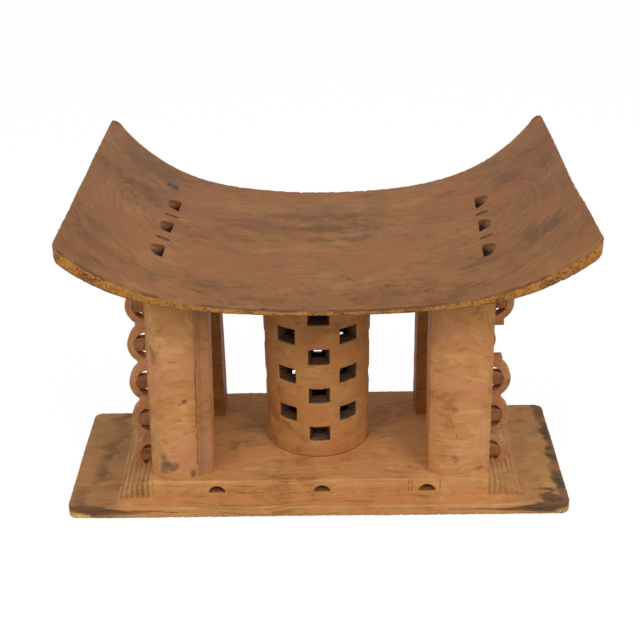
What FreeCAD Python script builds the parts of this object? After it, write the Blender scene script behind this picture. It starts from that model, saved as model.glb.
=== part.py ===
"""Carved hardwood stool with a curved seat, four posts and a pierced column.

Frame: millimetres, +Z up, +Y away from the sitter's front, X to the right.
The origin is on the floor, under the axis of the pierced middle column.
"""
import FreeCAD
import Part
import Sketcher
import math
import os

Vector = FreeCAD.Vector

# Driving sizes, in millimetres unless the name ends in count or degrees
SIZES = {
    # flat foot slab
    "slab_width": 490.0,
    "slab_depth": 188.0,
    "slab_thickness": 12.0,
    "slab_corner_radius": 9.0,
    "slab_forward_shift": 16.0,
    "slab_rear_skew": 9.0,
    # raised step on the slab, with a reeded ramp at each end
    "step_top_width": 334.0,
    "step_shift": 2.0,
    "step_rise": 19.5,
    "step_front_ledge": 16.5,
    "step_rear_ledge": 1.0,
    "ramp_run": 33.0,
    "ramp_toe": 1.6,
    "reed_count": 6.0,
    "reed_radius": 2.0,
    "reed_bite": 1.3,
    "moon_count": 3.0,
    "moon_radius": 8.3,
    "moon_pitch": 103.0,
    "moon_shift": 1.4,
    "moon_sill": 4.5,
    "moon_depth": 7.0,
    # pierced middle column
    "column_radius": 53.4,
    "column_wall": 13.0,
    "window_width": 21.5,
    "window_height": 16.8,
    "window_pitch": 43.4,
    "window_sill": 17.8,
    "window_stagger": 20.3,
    # corner posts
    "post_width": 59.5,
    "post_depth": 48.0,
    "post_bow": 12.0,
    "post_setback": 1.5,
    "front_post_inset": 1.3,
    "rear_post_inset": 6.7,
    "left_post_lean": 5.4,
    "right_post_lean": 2.6,
    "strip_width": 8.0,
    "strip_setback": 12.0,
    # openwork wing on the outer flank of each post
    "wing_thickness": 11.0,
    "wing_foot": 16.3,
    "disc_radius": 21.2,
    "disc_pitch": 41.4,
    "disc_count": 6.0,
    "disc_border": 7.0,
    "band_height": 13.0,
    "web_width": 12.5,
    "face_recess": 1.3,
    "spine_width": 3.5,
    "break_height": 35.0,
    "intact_disc_count": 3.0,
    # seat
    "seat_width": 451.0,
    "seat_depth": 342.0,
    "seat_low": 239.3,
    "seat_rise": 76.0,
    "seat_shift": 11.7,
    "seat_front_flare": 2.2,
    "seat_waist": 32.0,
    "seat_lean_rise": 4.4,
    "seat_front_radius": 8.0,
    "seat_rear_radius": 14.0,
    "edge_middle": 4.0,
    "edge_end": 12.3,
    "core_middle": 22.0,
    "core_end": 15.0,
    # pits, slots and plug in the seat
    "pit_reach": 152.0,
    "pit_pitch": 55.5,
    "pit_length": 17.0,
    "pit_width": 13.0,
    "pit_depth": 9.0,
    "pit_floor_length": 5.0,
    "pit_floor_width": 4.0,
    "slot_length": 13.0,
    "slot_width": 4.0,
    "slot_depth": 5.0,
    "plug_length": 10.0,
    "plug_width": 7.0,
    "plug_depth": 9.0,
    "plug_proud": 0.4,
    "plug_reach": 158.3,
    "plug_back": 102.0,
    "plug_tilt_degrees": 24.0,
    # length by which a cutting tool passes the face that it cuts
    "overrun": 5.0,
}

# The seat's curve is an even polynomial of the share of the half width
RISE_SHARES = {2: 0.37, 4: 0.454, 6: 0.176}
WAIST_POWER = 3.0
EDGE_POWER = 2.15
# Part of a pit's length that lies inward of the pit's centre line
PIT_INNER_SHARE = 0.4
SECTION_SHARES = (-1.04, -0.93, -0.82, -0.7, -0.56, -0.4, -0.2, 0.0,
                  0.2, 0.4, 0.56, 0.7, 0.82, 0.93, 1.04)
# Bearing of each column of windows as a share of a full turn, from the front
WINDOW_TURN_SHARES = (0.006, 0.102, 0.25, 0.4, 0.5, 0.6, 0.75, 0.902)
WINDOW_ROWS = (4, 3)
FULL_TURN = 360.0
HALF_TURN = 180.0
QUARTER_TURN = 90.0

doc = FreeCAD.newDocument("Stool")
sheet = doc.addObject("Spreadsheet::Sheet", "Sizes")


def fill_sheet():
    """Write each driving size to the sheet under its own alias."""
    for row, (alias, number) in enumerate(SIZES.items(), start=1):
        sheet.set(f"A{row}", alias)
        sheet.set(f"B{row}", str(number))
        sheet.setAlias(f"B{row}", alias)
    doc.recompute()


def term(text):
    """Return an expression with each size name led by the sheet's name."""
    words = sorted(SIZES, key=len, reverse=True)
    out, i = "", 0
    while i < len(text):
        word = next((w for w in words if text.startswith(w, i)), None)
        out += f"Sizes.{word}" if word else text[i]
        i += len(word) if word else 1
    return out


def bind(obj, **expressions):
    """Bind properties of an object, written with a dot as two underscores."""
    for name, text in expressions.items():
        obj.setExpression(name.replace("__", "."), term(text))
    return obj


def place(obj, x="0", y="0", z="0"):
    """Bind an object's position to three expressions."""
    return bind(obj, Placement__Base__x=x, Placement__Base__y=y, Placement__Base__z=z)


def turned(obj, axis, degrees):
    """Turn an object about an axis through its own corner."""
    obj.Placement = FreeCAD.Placement(Vector(), FreeCAD.Rotation(axis, degrees))
    return obj


def box(name, length, width, height, x, y, z):
    """Make a box from six expressions."""
    obj = doc.addObject("Part::Box", name)
    bind(obj, Length=length, Width=width, Height=height)
    return place(obj, x, y, z)


def rod(name, radius, length, x, y, z, sweep=FULL_TURN):
    """Make a cylinder along +Y, or only its upper half for a sweep of half a turn."""
    obj = doc.addObject("Part::Cylinder", name)
    bind(obj, Radius=radius, Height=length)
    obj.Angle = sweep
    lay = FreeCAD.Rotation(Vector(1, 0, 0), -QUARTER_TURN)
    half = FreeCAD.Rotation(Vector(0, 0, 1), HALF_TURN)
    obj.Placement = FreeCAD.Placement(Vector(), lay.multiply(half))
    return place(obj, x, y, z)


def group(kind, name, shapes):
    """Fuse or intersect a list of shapes in one object."""
    obj = doc.addObject(kind, name)
    obj.Shapes = shapes
    return obj


def cut(name, base, tool):
    """Cut one object from another."""
    obj = doc.addObject("Part::Cut", name)
    obj.Base = base
    obj.Tool = tool
    return obj


def outline(name, corners, arcs=None, rotation=None):
    """Make a closed sketch from corner expressions; arcs maps an edge to its radius.

    An arc's radius expression is followed by the side of the centre, seen along
    the edge: 1 on the left and -1 on the right.
    """
    arcs = arcs or {}
    sketch = doc.addObject("Sketcher::SketchObject", name)
    if rotation:
        sketch.Placement = FreeCAD.Placement(Vector(), rotation)
    numbers = [Vector(float(sheet.evalExpression(term(a).replace("Sizes.", ""))),
                      float(sheet.evalExpression(term(b).replace("Sizes.", ""))), 0)
               for a, b in corners]
    ends = []
    for i, start in enumerate(numbers):
        stop = numbers[(i + 1) % len(numbers)]
        if i not in arcs:
            sketch.addGeometry(Part.LineSegment(start, stop), False)
            ends.append((1, 2))
            continue
        text, side = arcs[i]
        radius = float(sheet.evalExpression(term(text).replace("Sizes.", "")))
        ends.append(add_arc(sketch, start, stop, radius, side))
    for i in range(len(numbers)):
        j = (i + 1) % len(numbers)
        sketch.addConstraint(
            Sketcher.Constraint("Coincident", i, ends[i][1], j, ends[j][0]))
    for i, (a, b) in enumerate(corners):
        tie(sketch, "DistanceX", i, ends[i][0], a, numbers[i].x)
        tie(sketch, "DistanceY", i, ends[i][0], b, numbers[i].y)
    for i, (text, _side) in arcs.items():
        at = sketch.addConstraint(
            Sketcher.Constraint("Radius", i, sketch.Geometry[i].Radius))
        sketch.renameConstraint(at, f"Radius{i}")
        sketch.setExpression(f"Constraints.Radius{i}", term(text))
    return sketch


def add_arc(sketch, start, stop, radius, side):
    """Add an arc of under half a circle and return its start and end as point numbers."""
    chord = stop - start
    middle = (start + stop) * 0.5
    left = Vector(-chord.y, chord.x, 0).normalize()
    rise = math.sqrt(max(radius ** 2 - (chord.Length / 2) ** 2, 0.0))
    centre = middle + left * (side * rise)
    first = math.atan2(start.y - centre.y, start.x - centre.x)
    last = math.atan2(stop.y - centre.y, stop.x - centre.x)
    if side < 0:
        first, last = last, first
    circle = Part.Circle(centre, Vector(0, 0, 1), radius)
    sketch.addGeometry(Part.ArcOfCircle(circle, first, last), False)
    return (1, 2) if side > 0 else (2, 1)


def tie(sketch, kind, edge, point, text, number):
    """Hold a sketch point at a signed distance from the sketch's origin."""
    origin = (-1, 1)
    ends = (*origin, edge, point) if number >= 0 else (edge, point, *origin)
    at = sketch.addConstraint(Sketcher.Constraint(kind, *ends, abs(number)))
    label = f"{kind}{edge}"
    sketch.renameConstraint(at, label)
    sketch.setExpression(f"Constraints.{label}", term(text if number >= 0 else f"-({text})"))


def prism(name, sketch, direction, length):
    """Extrude a sketch along a direction by an expression."""
    obj = doc.addObject("Part::Extrusion", name)
    obj.Base = sketch
    obj.DirMode = "Custom"
    obj.Dir = direction
    obj.Solid = True
    return bind(obj, LengthFwd=length)


def rounded_plan(name, corners, radii):
    """Make a level outline with four round corners.

    The corners and their radii run front left, front right, rear right, rear left.
    """
    points, arcs = [], {}
    for i, ((x, y), radius) in enumerate(zip(corners, radii)):
        x_in = "-" if i in (1, 2) else "+"
        y_in = "-" if i in (2, 3) else "+"
        beside = (f"({x}{x_in}{radius})", y)
        along = (x, f"({y}{y_in}{radius})")
        arcs[len(points)] = (radius, 1)
        points += [along, beside] if x_in == y_in else [beside, along]
    return outline(name, points, arcs)


# Heights and places that several pieces share
STEP_BOTTOM = "slab_thickness"
STEP_TOP = "(slab_thickness+step_rise)"
STEP_FRONT = "(-slab_depth/2-slab_forward_shift+step_front_ledge)"
STEP_REAR = "(slab_depth/2-slab_forward_shift-step_rear_ledge)"
STEP_DEPTH = f"({STEP_REAR}-{STEP_FRONT})"
SEAT_HALF = "(seat_width/2)"
HEADROOM = "(seat_low+seat_rise+edge_end+overrun)"


def build_slab():
    """Flat foot slab with small round corners, a little shorter at its rear left."""
    front, rear = "(-slab_depth/2)", "(slab_depth/2)"
    corners = [("(-slab_width/2)", front), ("(slab_width/2)", front),
               ("(slab_width/2)", rear), ("(-slab_width/2)", "(slab_depth/2-slab_rear_skew)")]
    sketch = rounded_plan("SlabOutline", corners, ["slab_corner_radius"] * len(corners))
    place(sketch, y="-slab_forward_shift")
    return prism("base_slab", sketch, Vector(0, 0, 1), "slab_thickness")


def build_step():
    """Step with a reeded ramp at each end and half-moon notches along the front."""
    top = "(step_top_width/2)"
    toe = f"({top}+ramp_run)"
    lip = f"({STEP_BOTTOM}+ramp_toe)"
    corners = [
        (f"-{toe}", STEP_BOTTOM), (toe, STEP_BOTTOM), (toe, lip),
        (top, STEP_TOP), (f"-{top}", STEP_TOP), (f"-{toe}", lip),
    ]
    lay = FreeCAD.Rotation(Vector(1, 0, 0), QUARTER_TURN)
    sketch = outline("StepProfile", corners, rotation=lay)
    place(sketch, x="step_shift", y=STEP_FRONT)
    block = prism("StepBlock", sketch, Vector(0, 1, 0), STEP_DEPTH)
    tools = reed_tools(top, lip) + moon_tools()
    return cut("base_step", block, group("Part::MultiFuse", "StepCuts", tools))


def reed_tools(top, lip):
    """Grooves that run front to back down both ramps."""
    tools = []
    count = int(SIZES["reed_count"])
    slope = f"sqrt(ramp_run^2+({STEP_TOP}-{lip})^2)"
    for side in (-1, 1):
        for i in range(count):
            share = (i + 0.5) / count
            lift = "(reed_radius-reed_bite)"
            x = (f"step_shift+{side}*({top}+ramp_run*{share}"
                 f"+{lift}*({STEP_TOP}-{lip})/{slope})")
            z = f"{STEP_TOP}-({STEP_TOP}-{lip})*{share}+{lift}*ramp_run/{slope}"
            tools.append(rod(f"Reed{side + 1}{i}", "reed_radius",
                             f"{STEP_DEPTH}+2*overrun", x, f"{STEP_FRONT}-overrun", z))
    return tools


def moon_tools():
    """Half-moon notches, flat below and arched above, in the step's front."""
    tools = []
    count = int(SIZES["moon_count"])
    for i in range(count):
        x = f"step_shift+moon_shift+moon_pitch*{i - (count - 1) / 2}"
        tools.append(rod(f"Moon{i}", "moon_radius", "moon_depth+overrun",
                         x, f"{STEP_FRONT}-overrun", f"{STEP_BOTTOM}+moon_sill", HALF_TURN))
    return tools


def rise_share(share):
    """Height of the seat's top at a share of its half width, as a share of its rise."""
    return sum(part * share ** power for power, part in RISE_SHARES.items())


def seat_top(share):
    """Expression for the seat's top at a share of its half width."""
    return f"(seat_low+seat_rise*{rise_share(share):.6f})"


def seat_half_depth(share):
    """Expression for half the seat's depth at a share of its half width."""
    return f"(seat_depth/2-seat_waist*{1.0 - abs(share) ** WAIST_POWER:.6f})"


def seat_section(name, share, upper):
    """Upright section across the seat: straight above, bowed underside below."""
    part = min(abs(share), 1.0) ** EDGE_POWER
    edge = f"(edge_middle+(edge_end-edge_middle)*{part:.6f})"
    core = f"(core_middle+(core_end-core_middle)*{part:.6f})"
    half = seat_half_depth(share)
    lean = f"(seat_lean_rise*{half}/seat_depth)"
    sag = f"({core}-{edge})"
    low = f"({seat_top(share)}-{edge})"
    corners = [
        (f"-{half}", f"({low}-{lean})"), (half, f"({low}+{lean})"),
        (half, upper), (f"-{half}", upper),
    ]
    radius = f"({half}^2+{sag}^2)/(2*{sag})"
    turn = FreeCAD.Rotation(Vector(0, 1, 0), Vector(0, 0, 1), Vector(1, 0, 0))
    sketch = outline(name, corners, {0: (radius, 1)}, turn)
    return place(sketch, x=f"seat_shift+{SEAT_HALF}*{share}")


def air_section(name, share, upper):
    """Upright section through the air above the seat."""
    half = f"({seat_half_depth(share)}+overrun)"
    lean = f"(seat_lean_rise*{half}/seat_depth)"
    top = seat_top(share)
    corners = [
        (f"-{half}", f"({top}-{lean})"), (half, f"({top}+{lean})"),
        (half, upper), (f"-{half}", upper),
    ]
    turn = FreeCAD.Rotation(Vector(0, 1, 0), Vector(0, 0, 1), Vector(1, 0, 0))
    sketch = outline(name, corners, rotation=turn)
    return place(sketch, x=f"seat_shift+{SEAT_HALF}*{share}")


def loft(name, sections):
    """Solid through a row of sections."""
    obj = doc.addObject("Part::Loft", name)
    obj.Sections = sections
    obj.Solid = True
    obj.Ruled = False
    return obj


def build_headroom():
    """Everything above the seat's underside: it trims whatever carries the seat."""
    sections = [seat_section(f"Under{i}", share, f"({HEADROOM}+2*overrun)")
                for i, share in enumerate(SECTION_SHARES)]
    return loft("Headroom", sections)


def build_seat(headroom, plug):
    """Seat: the body between its bowed underside and its curved top."""
    sections = [air_section(f"Air{i}", share, f"({HEADROOM}+3*overrun)")
                for i, share in enumerate(SECTION_SHARES)]
    plate = cut("SeatPlate", headroom, loft("Air", sections))
    wide = f"({SEAT_HALF}+seat_front_flare)"
    front, rear = "(-seat_depth/2)", "(seat_depth/2)"
    corners = [(f"(-{wide})", front), (wide, front), (SEAT_HALF, rear), (f"(-{SEAT_HALF})", rear)]
    radii = ["seat_front_radius"] * 2 + ["seat_rear_radius"] * 2
    plan = place(rounded_plan("SeatPlan", corners, radii), x="seat_shift")
    trimmed = group("Part::MultiCommon", "SeatTrimmed",
                    [plate, prism("SeatPrism", plan, Vector(0, 0, 1), HEADROOM)])
    tools = pit_tools() + [plug]
    return cut("seat", trimmed, group("Part::MultiFuse", "SeatCuts", tools))


def pit_tools():
    """Row of ramped pits and small slots near each end of the seat."""
    tools = []
    reach = SIZES["pit_reach"] / (SIZES["seat_width"] / 2)
    for side in (-1, 1):
        for i in (-1, 0, 1):
            tools.append(pit(f"Pit{side + 1}{i + 1}", side, f"pit_pitch*{i}", reach))
        for i in (-1, 1):
            y = f"(pit_pitch*{i}/2)"
            x = f"(seat_shift+{side}*pit_reach-slot_length/2)"
            z = f"({seat_top(reach)}-slot_depth)"
            tools.append(box(f"Slot{side + 1}{i + 1}", "slot_length", "slot_width",
                             "slot_depth+3*overrun", x, f"{y}-slot_width/2", z))
    return tools


def pit(name, side, y, reach):
    """Pit with a steep inner wall and a long ramp on its outer side."""
    obj = doc.addObject("Part::Wedge", name)
    spread = "(1+overrun/pit_depth)"
    inner = f"(pit_length*{PIT_INNER_SHARE})"
    outer = f"(-{inner}+pit_floor_length+(pit_length-pit_floor_length)*{spread})"
    half = f"((pit_floor_width+(pit_width-pit_floor_width)*{spread})/2)"
    turn = FreeCAD.Rotation(Vector(side, 0, 0), Vector(0, 0, 1), Vector(0, -side, 0))
    obj.Placement = FreeCAD.Placement(Vector(), turn)
    bind(obj, Ymin="-pit_depth", Ymax="overrun",
         Xmin=f"-{inner}", Xmax=f"-{inner}+pit_floor_length",
         Zmin="-pit_floor_width/2", Zmax="pit_floor_width/2",
         X2min=f"-{inner}", X2max=outer, Z2min=f"-{half}", Z2max=half)
    return place(obj, f"seat_shift+{side}*pit_reach", y, seat_top(reach))


def build_plug():
    """Small dark plug let into the seat near its rear left corner."""
    share = -SIZES["plug_reach"] / (SIZES["seat_width"] / 2)
    obj = doc.addObject("Part::Box", "seat_plug")
    bind(obj, Length="plug_length", Width="plug_width", Height="plug_depth+plug_proud")
    turned(obj, Vector(0, 1, 0), SIZES["plug_tilt_degrees"])
    lean = "(seat_lean_rise*plug_back/seat_depth)"
    tilt = "plug_tilt_degrees"
    x = (f"seat_shift-plug_reach-plug_length/2*cos({tilt}*1deg)"
         f"-plug_depth*sin({tilt}*1deg)")
    z = (f"{seat_top(share)}+{lean}+plug_length/2*sin({tilt}*1deg)"
         f"-plug_depth*cos({tilt}*1deg)")
    return place(obj, x, "plug_back-plug_width/2", z)


def build_column(headroom):
    """Hollow column with staggered windows, shaped on top to the seat's underside."""
    parts = []
    for name, radius in (("ColumnOuter", "column_radius"),
                         ("ColumnBore", "column_radius-column_wall")):
        obj = doc.addObject("Part::Cylinder", name)
        bind(obj, Radius=radius, Height=f"seat_low-{STEP_TOP}")
        parts.append(place(obj, z=STEP_TOP))
    tube = cut("ColumnTube", *parts)
    tools = window_tools() + [headroom]
    return cut("centre_column", tube, group("Part::MultiFuse", "ColumnCuts", tools))


def window_tools():
    """One radial box for each window, in columns of four and of three by turns."""
    tools = []
    for i, turn_share in enumerate(WINDOW_TURN_SHARES):
        bearing = FULL_TURN * turn_share
        along = math.radians(bearing - QUARTER_TURN)
        for row in range(WINDOW_ROWS[i % 2]):
            stagger = "window_stagger" if i % 2 else "0"
            z = f"{STEP_TOP}+window_sill+{stagger}+window_pitch*{row}"
            name = f"Window{i}{row}"
            obj = doc.addObject("Part::Box", name)
            bind(obj, Length="column_wall+2*overrun", Width="window_width",
                 Height="window_height")
            turned(obj, Vector(0, 0, 1), bearing - QUARTER_TURN)
            near = "(column_radius-column_wall-overrun)"
            x = f"{near}*{math.cos(along):.6f}+window_width/2*{math.sin(along):.6f}"
            y = f"{near}*{math.sin(along):.6f}-window_width/2*{math.cos(along):.6f}"
            tools.append(place(obj, x, y, z))
    return tools


class Corner:
    """Names and places of one corner post and its wing.

    A front post leans towards the middle as it rises. Its places in plan are
    those at the step's top.
    """

    def __init__(self, row, side):
        self.row = row
        self.side = side
        hand = "left" if side < 0 else "right"
        self.key = f"{row}_{hand}"
        self.flank = f"(step_shift+{side}*(step_top_width/2-{row}_post_inset))"
        self.inner = f"({self.flank}-{side}*post_width)"
        lean = f"{hand}_post_lean" if row == "front" else "0"
        self.slope = f"({-side}*{lean}/(seat_low-{STEP_TOP}))"
        bow_line = f"({STEP_FRONT}+post_setback+post_bow)"
        back = f"({STEP_FRONT}+post_setback+post_depth)"
        if row == "front":
            self.shoulder, self.back, self.outward = bow_line, back, -1
            self.wing_near = f"({back}-wing_thickness)"
        else:
            mirror = f"({STEP_FRONT}+{STEP_REAR})"
            self.shoulder, self.back = f"({mirror}-{bow_line})", f"({mirror}-{back})"
            self.outward, self.wing_near = 1, self.back

    def flank_at(self, z):
        """Expression for the flank's place at a height."""
        return f"({self.flank}+{self.slope}*({z}-{STEP_TOP}))"

    def upright(self, name, corners, arcs=None, bottom=STEP_TOP):
        """Prism on a plan outline, rising with the post's lean from a height."""
        sketch = outline(name, corners, arcs)
        place(sketch, x=f"{self.slope}*({bottom}-{STEP_TOP})", z=bottom)
        shaft = prism(f"{name}Prism", sketch, Vector(0, 0, 1), f"{HEADROOM}-{bottom}")
        return bind(shaft, Dir__x=self.slope)

    def upright_box(self, name, x_from, x_to, y_from, y_to, bottom=STEP_TOP):
        """Prism on a plan rectangle, rising with the post's lean."""
        return self.upright(name, [(x_from, y_from), (x_to, y_from),
                                   (x_to, y_to), (x_from, y_to)], bottom=bottom)


def build_shaft(corner):
    """Post with a flat back and a bowed outer face, before its top is shaped."""
    has_strip = corner.key == "front_left"
    width = "(post_width-strip_width)" if has_strip else "post_width"
    inner = f"({corner.flank}-{corner.side}*{width})"
    corners = [(inner, corner.shoulder), (corner.flank, corner.shoulder),
               (corner.flank, corner.back), (inner, corner.back)]
    radius = f"(({width}/2)^2+post_bow^2)/(2*post_bow)"
    turns_left = corner.side * corner.outward < 0
    shaft = corner.upright(f"Shaft_{corner.key}", corners,
                           {0: (radius, 1 if turns_left else -1)})
    if not has_strip:
        return shaft
    strip = corner.upright_box("Strip", inner, corner.inner,
                               f"({STEP_FRONT}+post_setback+strip_setback)", corner.back)
    return group("Part::MultiFuse", "ShaftWithStrip", [shaft, strip])


def build_wing(corner, shaft, headroom, step):
    """Openwork wing of stacked half discs on a post's outer flank."""
    side, near = corner.side, corner.wing_near
    foot = "(wing_foot+disc_radius)"
    blanks, holes = [], []
    for i in range(int(SIZES["disc_count"])):
        z = f"({foot}+disc_pitch*{i})"
        name = f"{corner.key}{i}"
        x = corner.flank_at(z)
        blanks.append(rod(f"Disc_{name}", "disc_radius", "wing_thickness", x, near, z))
        holes.append(disc_openings(name, x, near, z))
        holes += disc_recesses(name, x, near, z)
    far = f"({near}+wing_thickness)"
    web = corner.upright_box(f"Web_{corner.key}", corner.flank,
                             f"({corner.flank}+{side}*web_width)", near, far)
    guard = corner.upright_box(f"Guard_{corner.key}", corner.flank,
                               f"({corner.flank}+{side}*spine_width)",
                               f"({near}-overrun)", f"({far}+overrun)", STEP_BOTTOM)
    pierced = cut(f"WingPierced_{corner.key}",
                  group("Part::MultiFuse", f"WingBlank_{corner.key}", blanks + [web]),
                  cut(f"WingHoles_{corner.key}",
                      group("Part::MultiFuse", f"WingTools_{corner.key}", holes), guard))
    ends = [headroom, step, shaft]
    if corner.key == "front_right":
        z = f"({foot}+disc_pitch*intact_disc_count)"
        ends.append(box("Break", "disc_radius", "wing_thickness+2*overrun", "break_height",
                        f"{corner.flank_at(z)}+spine_width", f"{near}-overrun",
                        f"{z}-break_height/2"))
    return cut(f"fretwork_{corner.key}", pierced,
               group("Part::MultiFuse", f"WingEnds_{corner.key}", ends))


def disc_openings(name, x, near, z):
    """Round opening in one disc, crossed by a band at the disc's middle."""
    eye = rod(f"Eye_{name}", "disc_radius-disc_border", "wing_thickness+2*overrun",
              x, f"{near}-overrun", z)
    band = box(f"Band_{name}", "2*disc_radius", "wing_thickness+2*overrun", "band_height",
               f"{x}-disc_radius", f"{near}-overrun", f"{z}-band_height/2")
    return cut(f"Openings_{name}", eye, band)


def disc_recesses(name, x, near, z):
    """Shallow recess on both faces, so that the disc's border stands proud."""
    return [rod(f"Recess{label}_{name}", "disc_radius-disc_border", "face_recess+overrun",
                x, y, z)
            for label, y in (("A", f"{near}-overrun"),
                             ("B", f"{near}+wing_thickness-face_recess"))]


def check(obj):
    """Stop the build if an object could not be made."""
    if "Invalid" in obj.State or "Error" in obj.State:
        raise RuntimeError(f"{obj.Label} failed: {obj.State}")


def write(pieces):
    """Test every piece and write each to its own file."""
    os.makedirs("parts", exist_ok=True)
    for obj in doc.Objects:
        check(obj)
    for obj in pieces:
        shape = obj.Shape
        if shape.isNull() or not shape.isValid() or not shape.Solids:
            raise RuntimeError(f"{obj.Label} holds no sound solid")
        shape.exportStep(f"parts/{obj.Label}.step")
        box_size = shape.optimalBoundingBox()
        print(f"{obj.Label}: {len(shape.Solids)} solid, {shape.Volume / 1000:.1f} cm3, "
              f"x {box_size.XMin:.1f}..{box_size.XMax:.1f} "
              f"y {box_size.YMin:.1f}..{box_size.YMax:.1f} "
              f"z {box_size.ZMin:.1f}..{box_size.ZMax:.1f}")


def main():
    """Build every piece of the stool."""
    fill_sheet()
    headroom = build_headroom()
    step = build_step()
    plug = build_plug()
    pieces = [build_slab(), step, build_column(headroom),
              build_seat(headroom, plug), plug]
    for row in ("front", "rear"):
        for side in (-1, 1):
            corner = Corner(row, side)
            shaft = build_shaft(corner)
            pieces.append(cut(f"post_{corner.key}", shaft, headroom))
            pieces.append(build_wing(corner, shaft, headroom, step))
    doc.recompute()
    write(pieces)


main()
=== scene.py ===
"""A carved wooden stool, dressed as one block of worn hardwood around its solid model.

Each carved member takes its shape from its own solid: the solid is remeshed in small even faces, its arrises
are worn round, and tool marks, cracks, chips and incised lines are cut into it. All sizes are in metres.
"""
import logging
import math
from dataclasses import dataclass
from enum import Enum
from typing import Callable, ClassVar, Sequence

import bmesh
import bpy
import numpy as np
from mathutils import Euler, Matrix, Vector
from mathutils.bvhtree import BVHTree
from mathutils.kdtree import KDTree


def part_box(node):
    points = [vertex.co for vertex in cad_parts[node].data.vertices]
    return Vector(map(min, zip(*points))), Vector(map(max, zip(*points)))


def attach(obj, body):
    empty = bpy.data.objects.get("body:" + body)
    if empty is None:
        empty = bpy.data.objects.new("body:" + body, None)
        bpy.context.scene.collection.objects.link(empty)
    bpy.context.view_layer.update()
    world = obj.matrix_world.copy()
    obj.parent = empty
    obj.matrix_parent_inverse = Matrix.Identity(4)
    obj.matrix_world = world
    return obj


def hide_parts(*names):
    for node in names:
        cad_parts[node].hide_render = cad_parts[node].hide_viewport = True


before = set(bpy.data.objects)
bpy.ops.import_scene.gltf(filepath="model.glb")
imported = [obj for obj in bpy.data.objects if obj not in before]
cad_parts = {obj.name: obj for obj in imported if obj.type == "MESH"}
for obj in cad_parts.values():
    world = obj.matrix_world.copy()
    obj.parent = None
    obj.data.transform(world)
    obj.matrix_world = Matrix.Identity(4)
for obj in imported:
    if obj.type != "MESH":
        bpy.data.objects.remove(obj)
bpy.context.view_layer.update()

log = logging.getLogger("stool")

MM = 0.001
# How far a member is sunk into its neighbour, and how near to it a point has to be.
BITE = 2.5 * MM
TOUCHING = 0.4 * MM
# Rounds of smoothing before a mesh is laid on its solid, and after its sharp edges are found.
SETTLING = 4
EVENING = 6
# The gap between two places along a sharp edge, in faces.
RIDGE_STEP = 0.3
# Edges sharper than SHARP, in radians, draw the points of a mesh from as many faces away as SNAP.
SHARP = 0.6
SNAP = 1.8
# The faces are evened out on a turned grid, so that no flat side runs along it.
REMESH_TURN = Euler((0.31, 0.17, 0.23)).to_matrix().to_4x4()

Array = np.ndarray
Colour = tuple[float, float, float]
Path = Sequence[tuple[float, float]]
Socket = bpy.types.NodeSocket


class Axis(Enum):
    """Directions in the stool's own frame."""

    LEFT = (-1.0, 0.0, 0.0)
    RIGHT = (1.0, 0.0, 0.0)
    FRONT = (0.0, -1.0, 0.0)
    REAR = (0.0, 1.0, 0.0)
    UP = (0.0, 0.0, 1.0)
    DOWN = (0.0, 0.0, -1.0)


class Mask(Enum):
    """What is recorded at each point: its convexity, the cuts together with painted shade in hollows, the
    stains together with painted shade in the column's windows, and the wear.
    """

    CONVEX = "convex"
    CUT = "cut"
    STAIN = "stain"
    WORN = "worn"


class Plane(Enum):
    """The two axes in which the path of a crack is given."""

    FRONT = (0, 2)
    TOP = (0, 1)


class Pattern(Enum):
    """Whether a figure runs along a line or through space: its dimensions and the socket of its place."""

    LINE = ("1D", "W")
    SPACE = ("3D", "Vector")


class Ramp(Enum):
    """Where the figures and masks start to show, and where they show fully."""

    DARK = (0.22, 0.50)
    LIGHT = (0.50, 0.78)
    HUE = (0.46, 0.66)
    DASHES = (0.60, 0.74)
    PATCHES = (0.44, 0.60)
    ARRIS = (0.25, 1.00)
    SPECKLE = (0.35, 0.60)
    CORNER = (-0.25, -1.00)
    CUT = (0.00, 0.60)
    RIM = (0.28, 0.62)
    # Where the deepest cuts turn to painted deep shade.
    SOOT = (0.55, 1.00)


@dataclass(frozen=True)
class Figure:
    """One pattern of the grain: its cells for each metre along the axes, and its finer layers."""

    cells: tuple[float, ...]
    layers: float
    strength: float = 0.5
    twist: float = 0.0
    pattern: Pattern = Pattern.SPACE


@dataclass(frozen=True)
class Crack:
    """A ragged crack, as points along two axes."""

    path: Path
    half_width: float = 0.7 * MM
    depth: float = 0.8 * MM


@dataclass(frozen=True)
class Spot:
    """A ragged spot on one of the masks."""

    mask: Mask
    centre: tuple[float, float, float]
    reach: tuple[float, float, float]
    strength: float


@dataclass(frozen=True)
class Roll:
    """A broad hand-worked unevenness, with its wavelength along each axis."""

    height: float
    waves: tuple[float, float, float]


def eased(values: Array, start: float, end: float) -> Array:
    """Rises smoothly from 0 at start to 1 at end, or falls where end is below start.

    Args:
        values: The values to ease.
        start: Where the result leaves 0.
        end: Where the result reaches 1.

    Returns:
        The eased values, from 0 to 1.
    """
    share = np.clip((values - start) / (end - start), 0.0, 1.0)
    return share * share * (3.0 - 2.0 * share)


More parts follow.
